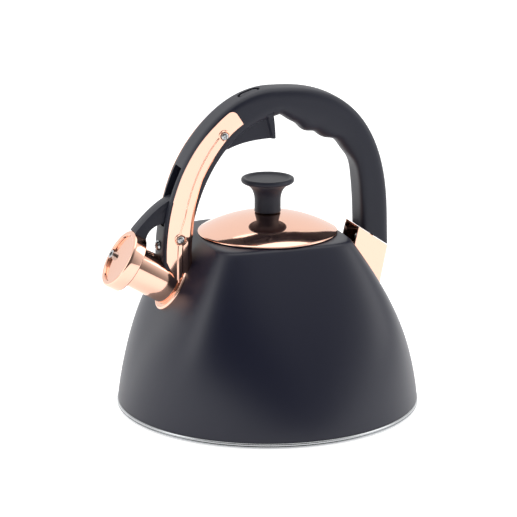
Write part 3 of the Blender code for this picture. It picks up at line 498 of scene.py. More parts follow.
# ---------------------------------------------------------------- spout
@dataclass
class Spout:
    """The straight tube of the spout and the collar round its root."""

    tilt: float = 31.5
    root_z: float = 94.5
    root_x: float = -73.63
    radius: float = 15.15
    wall: float = 1.2
    length: float = 39.4
    collar_radius: float = 19.5
    collar_height: float = 2.2

    @property
    def bore(self) -> float:
        """Inner radius of the tube."""
        return self.radius - self.wall

    @property
    def axis(self) -> Axis:
        """The tube's axis, from the body's face outwards. Its across direction is upwards."""
        turn = np.radians(self.tilt)
        cos, sin = np.cos(turn), np.sin(turn)
        return Axis(np.array([self.root_x, 0, self.root_z]), np.array([sin, 0, cos]),
                    np.array([0, 1.0, 0]), np.array([-cos, 0, sin]))

    def build(self, finish: bpy.types.Material, body: Body) -> list[bpy.types.Object]:
        """Builds the tube and the collar. Each starts where its wall meets the body's face."""
        axis, sides = self.axis, 144
        angle = np.linspace(0, FULL_TURN, sides, endpoint=False)
        tube_profile = rounded(np.array([
            (self.bore, 0), (self.radius, 0), (self.radius, 1), (self.bore, 1)]),
            np.array([0, 0, 0.25, 0.25]), 4)
        made = []
        tube = self.sleeve(tube_profile, self.length, angle, axis, body)
        made.append(put_mesh("spout_pipe", tube, grid_faces(len(tube), sides, True, True), finish))
        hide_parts("spout_tube")
        ring_in = self.radius + 0.15
        collar_profile = rounded(np.array([
            (ring_in, 0), (self.collar_radius, 0), (self.collar_radius, 0.5),
            (self.collar_radius - 0.9, 0.93), (self.collar_radius - 1.7, 1),
            (self.collar_radius - 2.1, 0.72), (ring_in, 0.7)]),
            np.array([0, 0, 0.3, 0.3, 0.3, 0.2, 0]), 4)
        collar = self.sleeve(collar_profile, self.collar_height, angle, axis, body)
        made.append(put_mesh("spout_collar", collar,
                             grid_faces(len(collar), sides, True, True), finish))
        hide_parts("spout_flange")
        for piece in made:
            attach(piece, "kettle")
        return made

    def sleeve(self, profile: Array, top: float, angle: Array, axis: Axis, body: Body) -> Array:
        """Points of a sleeve. A profile height of 1 is its free end, and 0 is just inside the
        body's face at that angle."""
        radius, share = profile[:, :1], profile[:, 1:]
        cos, sin = np.cos(angle)[None, :], np.sin(angle)[None, :]
        far = axis.at(top + 0 * radius * cos, radius * cos, radius * sin)
        low = top - body.meet(far, -axis.ahead) - 0.5
        upper = top * share if top < 5 else top - (1 - share) * 1.2
        along = np.where(share < 0.05, low, upper + 0 * low)
        return axis.at(along, radius * cos, radius * sin)


@dataclass
class WhistleCap:
    """The cap on the spout's end: a shallow drum with a sunk face and a whistle hole in it."""

    radius: float = 22.2
    depth: float = 10.0
    face: float = 46.9
    sheet: float = 1.1
    edge_round: float = 2.4
    recess_radius: float = 18.2
    recess_depth: float = 2.2
    hole_radius: float = 1.8
    hole_up: float = -1.5
    hole_side: float = 16.6
    eyelet_radius: float = 3.2

    def build(self, gold: bpy.types.Material, steel: bpy.types.Material, spout: Spout
              ) -> list[bpy.types.Object]:
        """Builds the drum, its sunk plate and the steel eyelet round the hole."""
        axis, edge, face = spout.axis, self.radius, self.face
        back, mouth = face - self.depth, spout.radius + 1.0
        ledge = face - self.recess_depth - 1.1
        wall = self.recess_radius + self.sheet
        sleeve = self.recess_radius - 1.8
        drum = np.array([
            (self.recess_radius, face), (edge, face), (edge, back), (mouth, back),
            (mouth, back + 1.0), (edge - self.sheet, back + 1.0),
            (edge - self.sheet, face - self.sheet), (wall, face - self.sheet),
            (wall, ledge - self.sheet), (sleeve, ledge - self.sheet), (sleeve, ledge),
            (self.recess_radius, ledge)])
        sizes = np.array([0.55, self.edge_round, 0.8, 0.3, 0.2, 0.2, 0.3, 0.2, 0.2, 0.1, 0.1, 0.1])
        cap = turned("cap_drum", rounded(drum, sizes, 7), gold, axis, 160)
        hole = (self.hole_up, self.hole_side)
        carve(cap, rod("eyelet_seat", axis.at(face - 6, *hole), axis.at(face + 3, *hole),
                       self.eyelet_radius - 0.1, gold))
        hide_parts("whistle_cap")
        radius = np.linspace(0, self.recess_radius - 0.15, 26)
        share = radius / radius[-1]
        top = face - self.recess_depth - 0.5 * (1 - share ** 2) + 0.35 * share ** 12
        plate_profile = np.concatenate([np.column_stack([radius, top]),
                                        np.column_stack([radius, top - 0.8])[::-1]])
        plate = turned("cap_face_plate", plate_profile, gold, axis, 128)
        carve(plate, rod("hole", axis.at(face - 8, *hole), axis.at(face + 3, *hole),
                         self.eyelet_radius - 0.1, gold))
        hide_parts("whistle_plate_outer")
        seat = face - self.recess_depth
        eyelet_axis = Axis(axis.at(seat, *hole), axis.across, axis.side, axis.ahead)
        inner, outer = self.hole_radius - 0.1, self.eyelet_radius
        rim = self.recess_depth + 0.3
        ring = rounded(np.array([(inner, -1.4), (outer, -1.4), (outer, rim), (inner, rim)]),
                       np.array([0.2, 0.2, 0.6, 0.5]), 5)
        eyelet = turned("whistle_eyelet_ring", ring, steel, eyelet_axis, 64)
        made = [cap, plate, eyelet]
        for piece, slot in zip(made, ("rose_gold_plate", "rose_gold_plate", "stainless_steel")):
            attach(piece, "spout_lever")
        return made


# ---------------------------------------------------------------- lid
@dataclass
class Lid:
    """The domed lid that covers the neck."""

    radius: float = 51.3
    rise: float = 13.8
    rim_z: float = 130.4
    sheet: float = 0.8

    def dome(self, radius: Array, drop: float = 0.0) -> Array:
        """Height of the spherical dome at a radius, or of the face a distance inside it."""
        ball = (self.radius ** 2 + self.rise ** 2) / (2 * self.rise)
        centre = self.rim_z + self.rise - ball
        return centre + np.sqrt((ball - drop) ** 2 - radius ** 2)

    def build(self, finish: bpy.types.Material) -> list[bpy.types.Object]:
        """Turns the cover: the dome, a small rolled rim and the inner face."""
        outer_r = np.linspace(0, self.radius - 0.5, 90)
        inner_r = np.linspace(self.radius - 1.6, 0, 40)
        lip_z = self.rim_z - 0.9
        rim = rounded(np.array([
            (self.radius - 0.5, self.dome(np.array(self.radius - 0.5))),
            (self.radius + 0.1, self.rim_z - 0.35), (self.radius - 0.1, lip_z),
            (self.radius - 1.3, lip_z), (self.radius - 1.6, self.rim_z - 0.3)]),
            np.array([0, 0.4, 0.4, 0.3, 0]), 5, closed=False)
        profile = np.concatenate([np.column_stack([outer_r, self.dome(outer_r)]), rim[1:-1],
                                  np.column_stack([inner_r, self.dome(inner_r, self.sheet)])])
        cover = turned("lid_dome", profile, finish, sides=224)
        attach(cover, "lid")
        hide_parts("lid_cover")
        return [cover]


@dataclass
class Knob:
    """The trumpet-shaped knob on the lid."""

    base_z: float = 144.5
    height: float = 25.5
    stem: float = 9.6
    rim: float = 19.4
    dish: float = 1.9

    def build(self, finish: bpy.types.Material) -> list[bpy.types.Object]:
        """Turns the knob: a straight stem, a flared neck, a rounded rim and a dished top."""
        base, top, stem, rim = self.base_z, self.base_z + self.height, self.stem, self.rim
        neck = curve((stem, top - 17.0), (stem + 0.2, top - 8.0), (rim - 3.2, top - 4.8), 26)
        lip = rounded(np.array([(rim - 3.2, top - 4.8), (rim - 1.8, top - 4.4),
                                (rim, top - 3.2), (rim, top - 0.9), (rim - 1.2, top),
                                (rim - 2.8, top - 0.2), (rim - 4.6, top - self.dish * 0.9),
                                (rim - 9.0, top - self.dish), (0, top - self.dish)]),
                      np.array([0, 0.8, 1.0, 1.1, 1.3, 1.2, 2.2, 2.0, 0]), 7, closed=False)
        foot = rounded(np.array([(0, base), (stem + 0.1, base), (stem, base + 1.5)]),
                       np.array([0, 0.4, 0]), 4, closed=False)
        profile = np.concatenate([foot, neck, lip[1:]])
        knob = turned("knob", profile, finish, sides=144, sharp=55)
        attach(knob, "lid")
        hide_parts("lid_knob")
        return [knob]


# ---------------------------------------------------------------- handle
@dataclass
class Arch:
    """The handle's path: two quarter superellipses that meet at the top, with straight legs
    below them. Places on it are lengths from the top, negative towards the front."""

    top_x: float = 2.4
    top_z: float = 237.1
    front_base: float = 117.5
    front_half: float = 85.8
    front_power: float = 1.9
    rear_base: float = 122.85
    rear_half: float = 88.8
    rear_power: float = 2.62
    half_depth: float = 10.8

    def __post_init__(self) -> None:
        """Works out a dense run of outer points, outward normals and lengths."""
        runs = []
        for side, half, base, power in (
                (-1, self.front_half, self.front_base, self.front_power),
                (1, self.rear_half, self.rear_base, self.rear_power)):
            angle = np.linspace(0, np.pi / 2, 1500)
            across, up = np.cos(angle) ** (2 / power), np.sin(angle) ** (2 / power)
            rise = self.top_z - base
            point = np.column_stack([self.top_x + side * half * across, base + rise * up])
            normal = np.column_stack([side * across ** (power - 1) / half,
                                      up ** (power - 1) / rise])
            tail = np.linspace(30.0, 0.5, 40)[:, None] * np.array([[0.0, -1.0]])
            foot_normal = np.repeat(normal[:1], len(tail), axis=0)
            run = (np.concatenate([point[:1] + tail, point]),
                   np.concatenate([foot_normal, normal]))
            runs.append(run if side < 0 else (run[0][::-1][1:], run[1][::-1][1:]))
        self.points = np.concatenate([run[0] for run in runs])
        normals = np.concatenate([run[1] for run in runs])
        self.normals = normals / np.linalg.norm(normals, axis=1)[:, None]
        step = np.linalg.norm(np.diff(self.points, axis=0), axis=1)
        length = np.concatenate([[0.0], np.cumsum(step)])
        self.lengths = length - np.interp(0, [0], [length[int(np.argmax(self.points[:, 1]))]])

    def at(self, place: Array | float, off: Array | float, y: Array | float) -> Array:
        """Points at places along the arch, distances out from its centre line, and y."""
        place, off, y = np.broadcast_arrays(*(np.asarray(v, float) for v in (place, off, y)))
        x, z, nx, nz = (np.interp(place, self.lengths, column) for column in (
            *self.points.T, *self.normals.T))
        size = np.hypot(nx, nz)
        reach = (off - self.half_depth) / size
        return np.stack([x + nx * reach, y, z + nz * reach], axis=-1)

    def front_z(self, z: float) -> float:
        """The place on the front leg whose outer point has this height."""
        front = self.lengths < 0
        return float(np.interp(z, self.points[front, 1], self.lengths[front]))

    def at_x(self, x: float) -> float:
        """The place across the top whose outer point has this x."""
        upper = self.points[:, 1] > 150
        return float(np.interp(x, self.points[upper, 0], self.lengths[upper]))

    def rear_z(self, z: float) -> float:
        """The place on the rear leg whose outer point has this height."""
        rear = self.lengths > 0
        return float(np.interp(-z, -self.points[rear, 1], self.lengths[rear]))

    def bar(self, name: str, first: float, last: float, box: tuple[float, float, float],
            finish: bpy.types.Material, steps: int = 60) -> bpy.types.Object:
        """A square bar along the arch. The box is its lowest and highest offset and half width."""
        low, high, half = box
        corners = np.array([(low, -half), (high, -half), (high, half), (low, half)])
        place = np.linspace(first, last, steps)[:, None]
        points = self.at(place, corners[None, :, 0], corners[None, :, 1])
        return put_mesh(name, points, grid_faces(steps, 4, False, True), finish, ends=True)


@dataclass
class Handle:
    """The soft-touch handle with finger dips, a guard under its front and slots for levers."""

    half_width: float = 12.6
    leg_power: float = 6.0
    grip_power: float = 4.2
    scallop_depth: float = 1.5
    ridges: tuple[float, float, float, float] = (15.4, 36.0, 62.0, 79.0)
    palm_swell: float = 10.0
    palm_rise: tuple[float, float] = (6.0, 34.0)
    palm_fall: tuple[float, float] = (52.0, 90.0)
    under_power: float = 2.7
    guard_half: float = 8.0
    guard_end_half: float = 11.0
    guard_depth: float = 15.8
    guard_start_x: float = -55.0
    guard_end_x: float = -1.8
    guard_round: float = 1.6
    fillet: float = 4.0
    channel_half: float = 7.0
    slot_top_z: float = 183.0
    slot_foot_z: float = 140.5
    button_x: float = -14.8
    button_length: float = 17.6
    button_width: float = 9.4
    foot_z: float = 109.5
    hull_low: float = 70.0
    hull_gap: float = 0.4
    seat_gap: float = 0.3
    guard_powers: tuple[float, float] = (2.0, 1.35)
    rear_cut: tuple[float, float, float, float] = (66.2, 131.0, 92.0, 113.0)

    def guard(self, arch: Arch, place: Array) -> tuple[Array, Array]:
        """The guard's depth under the handle and its half width, at places along the arch. The
        depth grows steadily towards the end face and then stops within a millimetre or two."""
        start, end = arch.at_x(self.guard_start_x), arch.at_x(self.guard_end_x)
        share = np.clip((place - start) / (end - start), 0.0, 1.0)
        rise, steep = self.guard_powers
        depth = self.guard_depth * (1 - (1 - share) ** rise) ** steep
        stop = 1 - smoothstep(place, end, end + 1.8)
        flare = smoothstep(place, end - 8.5, end - 5.0)
        half = self.guard_half + (self.guard_end_half - self.guard_half) * flare
        return depth * stop, half

    def palm(self, arch: Arch, place: Array) -> Array:
        """How far the grip's underside lies below a plain handle's: a swell for the palm, less
        a cosine dip for each finger between two ridges."""
        x = np.interp(place, arch.lengths, arch.points[:, 0])
        swell = self.palm_swell * smoothstep(x, *self.palm_rise) * (
            1 - smoothstep(x, *self.palm_fall))
        lead = (self.ridges[1] - self.ridges[0]) / 2
        turns = np.interp(x, (self.ridges[0] - lead, *self.ridges, arch.top_x + arch.rear_half),
                          (-0.5, 0.0, 1.0, 2.0, 3.0, 4.0))
        past = smoothstep(x, self.ridges[0] - lead - 4, self.ridges[0] - lead + 4)
        return swell - self.scallop_depth * past * (1 - np.cos(2 * np.pi * turns)) / 2

    def skin(self, arch: Arch) -> Array:
        """The handle's surface as rings. At each place, half width is a superellipse of the
        offset, and the guard's own half width is blended in below it with a fillet."""
        first, last = arch.front_z(self.foot_z), arch.rear_z(136.0)
        fine = arch.at_x(self.guard_end_x)
        place = np.unique(np.concatenate([
            np.linspace(first, last, 420), np.linspace(fine - 2, fine + 4, 30)]))[:, None]
        depth, web_half = self.guard(arch, place)
        under = arch.half_depth + self.palm(arch, place)
        behind = smoothstep(place, arch.at_x(-34.0), arch.at_x(8.0))
        tau = np.linspace(0, 1, 110)[None, :]
        low, high = -(under + depth), arch.half_depth
        off = low + (high - low) * (1 + np.cos(np.pi * tau)) / 2
        size = np.where(off > 0, off / arch.half_depth, -off / under)
        lower = self.under_power + (self.leg_power - self.under_power) * smoothstep(
            place, arch.at_x(78.0), arch.rear_z(165.0))
        soft = np.where(off > 0, self.grip_power, lower)
        bend = self.leg_power + (soft - self.leg_power) * behind
        body = self.half_width * np.clip(1 - np.clip(size, 0, 1) ** bend, 0, 1) ** (1 / bend)
        rise = np.clip((off - low) / self.guard_round, 0, 1)
        there = smoothstep(depth, 0.0, 2.5) * (1 - smoothstep(off, -8.0, -2.0))
        web = web_half * there * (1 - (1 - rise) ** 2.6) ** (1 / 2.6)
        half = np.where(web > 0.01, smooth_max(body, web, self.fillet), body)
        half = np.where((tau <= 0) | (tau >= 1), 0.0, half)
        lean = 0.2 * np.exp(-((place - fine) / 12) ** 2) * np.maximum(0, -off - 8.4)
        right = arch.at(place + lean, off, half)
        left = arch.at(place + lean, off, -half)[:, ::-1][:, 1:-1]
        return np.concatenate([right, left], axis=1)

    def foot_rings(self, last: Array) -> Array:
        """Rings from the last one down to the slanted end of the rear leg."""
        x0, z0, x1, z1 = self.rear_cut
        end = last.copy()
        end[:, 2] = z0 + (z1 - z0) / (x1 - x0) * (last[:, 0] - x0)
        end[:, 0] += 0.028 * (last[:, 2] - end[:, 2])
        middle = end.mean(axis=0)
        inset = middle + (end - middle) * 0.94
        share = np.array([0.25, 0.5, 0.75, 0.9, 0.96])[:, None, None]
        rings = last + (end - last) * share
        return np.concatenate([rings, end[None], inset[None] - np.array([0.12, 0, 0.2])])

    def build(self, finish: bpy.types.Material, arch: Arch, body: Body, spout: Spout
              ) -> list[bpy.types.Object]:
        """Builds the handle. It cuts the lever channel, the front slot, the button's hole, and
        the seat of the front foot over the spout and the body."""
        skin = self.skin(arch)
        rings = np.concatenate([skin, self.foot_rings(skin[-1])])
        handle = put_mesh("handle_skin", rings,
                          grid_faces(len(rings), rings.shape[1], False, True), finish, ends=True)
        foot, slot_foot = arch.front_z(118.0), arch.front_z(self.slot_foot_z)
        slot_top = arch.front_z(self.slot_top_z)
        half, axis = self.channel_half, spout.axis
        height = np.linspace(self.hull_low, body.flank_top, 30)
        hull = body.rings(body.half(height) + self.hull_gap, body.power(height), height)
        carve(handle,
              rod("tube_seat", axis.at(-20.0), axis.at(spout.length), spout.radius + self.seat_gap,
                  finish),
              rod("collar_seat", axis.at(-20.0), axis.at(spout.collar_height + 1.0),
                  spout.collar_radius + self.seat_gap, finish),
              put_mesh("hull", hull, grid_faces(len(hull), body.sides, False, True), finish,
                       ends=True),
              arch.bar("channel", foot - 2, arch.at_x(-2.0), (-7.0, 7.0, half), finish),
              arch.bar("slot", slot_foot, slot_top, (6.0, 13.0, half), finish),
              self.button_pill("button_hole", self.button_length, self.button_width, (4.0, 14.0),
                               finish, arch), sharp=38)
        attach(handle, "kettle")
        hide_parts("handle_shell", "handle_grip_cover")
        return [handle, self.build_button(finish, arch)]

    def button_pill(self, name: str, length: float, width: float, offs: tuple[float, float],
                    finish: bpy.types.Material, arch: Arch) -> bpy.types.Object:
        """A slot-shaped block that stands across the handle and follows its curve."""
        straight = (length - width) / 2
        angle = np.linspace(-np.pi / 2, np.pi / 2, 17)
        cap = np.column_stack([straight + width / 2 * np.cos(angle), width / 2 * np.sin(angle)])
        outline = np.concatenate([cap, -cap])
        place = arch.at_x(self.button_x) + outline[None, :, 0]
        points = arch.at(place, np.array(offs)[:, None], outline[None, :, 1])
        return put_mesh(name, points, grid_faces(2, len(outline), False, True), finish, ends=True)

    def build_button(self, finish: bpy.types.Material, arch: Arch) -> bpy.types.Object:
        """The thumb button, a little under the handle's surface with a gap round it."""
        button = self.button_pill("thumb_pad", self.button_length - 3.2, self.button_width - 1.2,
                                  (4.4, arch.half_depth - 0.5), finish, arch)
        soften(button, 0.7)
        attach(button, "thumb_lever")
        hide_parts("thumb_button")
        return button


# ---------------------------------------------------------------- brackets
@dataclass
class FrontBracket:
    """The rose gold channel round the front leg, with a pressed rib and two bosses a side."""

    half_width: float = 13.5
    sheet: float = 1.2
    corner: float = 4.2
    rib_height: float = 0.95
    boss_radius: float = 4.7
    seat_radius: float = 3.3
    wall_top_z: float = 188.0
    upper_screw: tuple[float, float] = (-37.1, 205.5)
    lower_screw: tuple[float, float] = (-70.6, 131.8)
    top_x: float = -31.0
    foot_cut: tuple[float, float, float, float] = (-81.6, 117.3, -73.8, 99.8)

    def edges(self, arch: Arch, place: Array) -> tuple[Array, Array]:
        """Offsets of the front edge and of the back face, along the leg."""
        leg = np.array([arch.front_z(z) for z in (118, 138, 160, 182, 200, 218)])
        front = np.interp(place, leg, [8.5, 8.8, 9.4, 9.8, 9.6, 9.0])
        back = np.interp(place, leg, [-11.3, -11.0, -9.4, -7.4, -7.4, -6.4])
        return front, back

    def place_of(self, arch: Arch, spot: tuple[float, float]) -> tuple[float, float]:
        """The place and offset of a point in the XZ plane, from the nearest centre point."""
        place = np.linspace(arch.front_z(118.0), 0, 900)
        centre = arch.at(place, 0.0, 0.0)[:, [0, 2]]
        nearest = int(np.argmin(np.linalg.norm(centre - np.array(spot), axis=1)))
        outer = arch.at(place[nearest], 10.0, 0.0)[[0, 2]]
        normal = (outer - centre[nearest]) / 10.0
        return float(place[nearest]), float((np.array(spot) - centre[nearest]) @ normal)

    def half(self, arch: Arch) -> Array:
        """One side of the channel and half of its back, as a grid of outer points. Across the
        grid the section runs from the front edge, over the side with its rib and bosses, round
        the corner and along the back wall to the middle."""
        side_steps, turn_steps, wall_steps, rows = 92, 14, 12, 330
        place_low, place_high = arch.front_z(118.0) - 19.0, arch.at_x(self.top_x)
        share = np.linspace(0, 1, side_steps)[None, :]
        rough = np.linspace(place_low, place_high, rows)[:, None]
        front, back = self.edges(arch, rough)
        side_off = front + (back + self.corner - front) * share
        turn = np.linspace(0, np.pi / 2, turn_steps + 1)[None, 1:]
        turn_off = back + self.corner * (1 - np.sin(turn))
        inner = 9.6 * smoothstep(rough, arch.front_z(self.wall_top_z) - 1.5,
                                 arch.front_z(self.wall_top_z) + 2.5)
        reach = np.linspace(0, 1, wall_steps + 1)[None, 1:]
        flat_y = self.half_width - self.corner
        wall_y = flat_y + (np.minimum(inner, flat_y - 0.2) - flat_y) * reach
        off = np.concatenate([side_off, turn_off, back + 0 * wall_y], axis=1)
        y = np.concatenate([self.half_width + 0 * side_off,
                            flat_y + self.corner * np.cos(turn) + 0 * turn_off, wall_y], axis=1)
        place = rough + 0 * off
        from_front, from_back = front - off, off - back
        end = 5.0 - np.sqrt(np.clip(25.0 - np.clip(5.0 - from_front, 0, 5) ** 2, 0, 25))
        end += 2.5 - np.sqrt(np.clip(6.25 - np.clip(2.5 - from_back, 0, 2.5) ** 2, 0, 6.25))
        grow = np.linspace(0, 1, rows)[:, None]
        place = place_low + (place_high - end - place_low) * grow
        points = arch.at(place, off, y)
        points[..., 1] += self.relief(arch, place, off) * (y > self.half_width - 0.05)
        return self.cut_foot(points, grow)

    def relief(self, arch: Arch, place: Array, off: Array) -> Array:
        """How far the side is pressed outwards: a wide rib between the bosses, a narrow one
        below them, and a raised ring with a sunk seat at each boss."""
        up_place, up_off = self.place_of(arch, self.upper_screw)
        low_place, low_off = self.place_of(arch, self.lower_screw)
        between = smoothstep(place, low_place - 1, low_place + 3) * (
            1 - smoothstep(place, up_place - 3, up_place + 1))
        line = np.interp(place, [low_place, low_place + 18, up_place - 25, up_place],
                         [low_off + 1.6, -1.6, 0.4, up_off + 2.6])
        wide = between * smoothstep(-off, -line - 0.35, -line + 0.35)
        foot = 1 - smoothstep(place, low_place - 2, low_place + 1)
        slim = foot * (1 - smoothstep(np.abs(off - low_off + 0.2), 1.3, 2.1))
        height = self.rib_height * np.maximum(wide, slim)
        for boss_place, boss_off in ((up_place, up_off), (low_place, low_off)):
            away = np.hypot(place - boss_place, off - boss_off)
            dome = 1 - smoothstep(away, self.boss_radius - 0.9, self.boss_radius)
            seat = 1 - smoothstep(away, self.seat_radius - 0.1, self.seat_radius + 0.5)
            height = np.maximum(height, dome * (self.rib_height + 0.25))
            height = height * (1 - seat) + seat * 0.1
        return height

    def cut_foot(self, points: Array, grow: Array) -> Array:
        """Slants the foot: each column starts on the cut line, and its rows are moved in
        proportion over the lowest stretch."""
        x0, z0, x1, z1 = self.foot_cut
        x, z = points[..., 0], points[..., 2]
        line = z0 + (z1 - z0) / (x1 - x0) * (x - x0)
        tip = z1 + (x - x1) * 0.5
        target = np.maximum(line, np.where(x > x1, tip, -1e3))[:1]
        lift = (target - z[:1]) * (1 - smoothstep(grow, 0.0, 0.2))
        points[..., 2] += lift
        return points

    def build(self, finish: bpy.types.Material, arch: Arch) -> list[bpy.types.Object]:
        """Builds both sides as one sheet and gives it its thickness."""
        bracket = channel_sheet("front_channel", self.half(arch), self.sheet, finish)
        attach(bracket, "kettle")
        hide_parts("front_bracket")
        return [bracket]


def thicken(obj: bpy.types.Object, sheet: float) -> None:
    """Gives an open sheet its thickness inwards, with its outer face where it was."""
    mesh = obj.data
    centre = np.array([v.co[:] for v in mesh.vertices]).mean(axis=0)
    normals = np.array([p.normal[:] for p in mesh.polygons])
    middles = np.array([p.center[:] for p in mesh.polygons])
    outward = ((middles - centre) * np.array([0, 1, 0]) * normals).sum()
    if outward < 0:
        mesh.flip_normals()
    solidify = obj.modifiers.new("sheet", "SOLIDIFY")
    solidify.thickness = sheet * MM
    solidify.offset = -1.0
    solidify.use_even_offset = False
    settle(obj, 45.0)


def channel_sheet(name: str, right: Array, sheet: float, finish: bpy.types.Material
                  ) -> bpy.types.Object:
    """A channel of sheet metal, from the grid of its right side and its mirrored left side."""
    rows, columns = right.shape[:2]
    one = grid_faces(rows, columns, False, False)
    faces = np.concatenate([one, one[:, ::-1] + rows * columns])
    both = np.stack([right, right * np.array([1.0, -1.0, 1.0])])
    channel = put_mesh(name, both, faces, finish, sharp=60)
    thicken(channel, sheet)
    return channel


@dataclass
class RearBracket:
    """The rose gold channel under the rear leg, with its rounded back outwards."""

    half_width: float = 13.5
    sheet: float = 1.2
    corner: float = 7.0
    inner_top: tuple[float, float] = (66.6, 130.2)
    inner_foot: tuple[float, float] = (59.0, 98.0)
    outer_top: tuple[float, float] = (91.8, 112.6)
    outer_foot: tuple[float, float] = (83.5, 72.0)

    def half(self) -> Array:
        """One side and half of the back. Heights run down straight lines from the slanted top
        edge, and across the grid the section runs from the open edge round the corner to the
        middle of the back."""
        rows, side_steps, turn_steps, wall_steps = 60, 24, 18, 8
        down = np.linspace(0, 1, rows)[:, None]
        inner = np.array(self.inner_top) + down * (
            np.array(self.inner_foot) - np.array(self.inner_top))
        outer = np.array(self.outer_top) + down * (
            np.array(self.outer_foot) - np.array(self.outer_top))
        width = (outer[:, :1] - inner[:, :1])
        turn = np.linspace(0, np.pi / 2, turn_steps + 1)[None, 1:]
        side = np.linspace(0, 1, side_steps)[None, :] * (width - self.corner)
        flat_y = self.half_width - self.corner
        across = np.concatenate([side, width - self.corner * (1 - np.sin(turn)),
                                 width + np.zeros((1, wall_steps))], axis=1)
        y = np.concatenate([
            self.half_width + 0 * side, flat_y + self.corner * np.cos(turn) + 0 * width,
            flat_y * (1 - np.linspace(0, 1, wall_steps + 1)[None, 1:]) + 0 * width], axis=1)
        share = across / width
        z = inner[:, 1:] + (outer[:, 1:] - inner[:, 1:]) * share
        return np.stack([inner[:, :1] + across, y, z], axis=-1)

    def build(self, finish: bpy.types.Material) -> list[bpy.types.Object]:
        """Builds both sides as one sheet and gives it its thickness."""
        bracket = channel_sheet("rear_channel", self.half(), self.sheet, finish)
        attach(bracket, "kettle")
        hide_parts("rear_bracket")
        return [bracket]


# ---------------------------------------------------------------- levers and screws
@dataclass
class SpoutLever:
    """The curved arm that lifts the cap, with its hub and its tail inside the handle."""

    pin: tuple[float, float] = (-72.0, 157.0)
    hub: float = 4.2
    half_width: float = 6.3
    tail_length: float = 11.7
    tail_angle: float = 53.2
    tail_radius: float = 1.5
    outer_pull: tuple[float, float] = (-84.0, 158.5)
    under_pull: tuple[float, float] = (-92.5, 142.0)
    under_end: tuple[float, float] = (-79.5, 143.5)
    pin_hole: float = 1.75

    def outline(self, spout: Spout, cap: WhistleCap) -> Array:
        """The arm's side view: two quadratic curves from the hub to the cap, and the tail."""
        hub_x, hub_z = self.pin
        axis, turn = spout.axis, np.radians(self.tail_angle)
        front = axis.at(cap.face, cap.radius + 0.8)[[0, 2]]
        seat = axis.at(cap.face, cap.radius - 1.6)[[0, 2]]
        back = axis.at(cap.face - cap.depth + 0.4, cap.radius - 1.6)[[0, 2]]
        outer = curve((hub_x, hub_z + self.hub + 0.2), self.outer_pull, front, 28)
        under = curve(back, self.under_pull, self.under_end, 28)
        hub_angle = np.linspace(np.radians(-130), turn - 0.5, 18)
        hub = np.array(self.pin) + self.hub * np.column_stack([np.cos(hub_angle),
                                                               np.sin(hub_angle)])
        tail_at = np.array(self.pin) + self.tail_length * np.array([np.cos(turn), np.sin(turn)])
        tail_angle = np.linspace(turn - np.pi / 2, turn + np.pi / 2, 12)
        tail = tail_at + self.tail_radius * np.column_stack([np.cos(tail_angle),
                                                             np.sin(tail_angle)])
        notch = np.array(self.pin) + self.hub * np.array([np.cos(turn + 0.5), np.sin(turn + 0.5)])
        return np.concatenate([outer, seat[None], under, hub, tail, notch[None]])

    def build(self, finish: bpy.types.Material, spout: Spout, cap: WhistleCap
              ) -> list[bpy.types.Object]:
        """Builds the arm, seats it on the cap, narrows its tail and rounds its edges."""
        arm = prism("spout_arm", self.outline(spout, cap), self.half_width, finish)
        x, z = self.pin
        clear = np.array([(x + 2.6, z - 8), (x + 14, z - 8), (x + 14, z + 16), (x - 2.6, z + 16),
                          (x + 2.6, z + 5.6)])
        carve(arm,
              rod("cap_seat", spout.axis.at(20.0), spout.axis.at(60.0), cap.radius + 0.05, finish,
                  160),
              rod("pin_hole", np.array([x, -9, z]), np.array([x, 9, z]), self.pin_hole, finish),
              prism("tail_left", clear, 2.5, finish, -6.5),
              prism("tail_right", clear, 2.5, finish, 6.5))
        soften(arm, 0.9, 40.0)
        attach(arm, "spout_lever")
        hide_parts("spout_lever")
        return [arm]


@dataclass
class PanScrew:
    """A small pan-head screw with a cross recess."""

    head_radius: float = 2.9
    head_height: float = 1.6
    shank_radius: float = 1.4
    cross_half: float = 0.36
    cross_reach: float = 1.55
    cross_depth: float = 1.0

    def build(self, name: str, node: str, body: str, seat: Sequence[float],
              inward: Sequence[float], length: float, turn: float, finish: bpy.types.Material
              ) -> bpy.types.Object:
        """Builds a screw. The head's height is a flattened dome of the radius, less the cross.

        Args:
            name: The object's name.
            node: The CAD node that it replaces.
            body: The body that it rides on.
            seat: The point under its head.
            inward: The direction of its shank.
            length: The shank's length.
            turn: How far the cross is turned, in degrees.
            finish: The material.

        Returns:
            The new object.
        """
        axis, sides = axis_to(seat, inward), 112
        radius = np.concatenate([np.linspace(0, 2.0, 26), np.linspace(2.1, self.head_radius, 12)])
        angle = np.linspace(0, FULL_TURN, sides, endpoint=False)[None, :]
        share = (radius / self.head_radius)[:, None]
        dome = self.head_height * (1 - share ** 3.2) ** 0.5
        x = radius[:, None] * np.cos(angle + np.radians(turn))
        y = radius[:, None] * np.sin(angle + np.radians(turn))
        arm = np.minimum(np.abs(x), np.abs(y))
        reach = np.maximum(np.abs(x), np.abs(y))
        cross = (1 - smoothstep(arm, self.cross_half - 0.1, self.cross_half + 0.1)) * (
            1 - smoothstep(reach, self.cross_reach - 0.2, self.cross_reach))
        height = dome - self.cross_depth * cross
        head = axis.at(-height, radius[:, None] * np.cos(angle), radius[:, None] * np.sin(angle))
        shank_profile = np.array([(self.shank_radius, 0), (self.shank_radius, length), (0, length)])
        shank = axis.at(shank_profile[:, 1:] + 0 * angle, shank_profile[:, :1] * np.cos(angle),
                        shank_profile[:, :1] * np.sin(angle))
        points = np.concatenate([head, shank])
        screw = put_mesh(name, points, grid_faces(len(points), sides, False, True), finish, 50)
        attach(screw, body)
        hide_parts(node)
        return screw


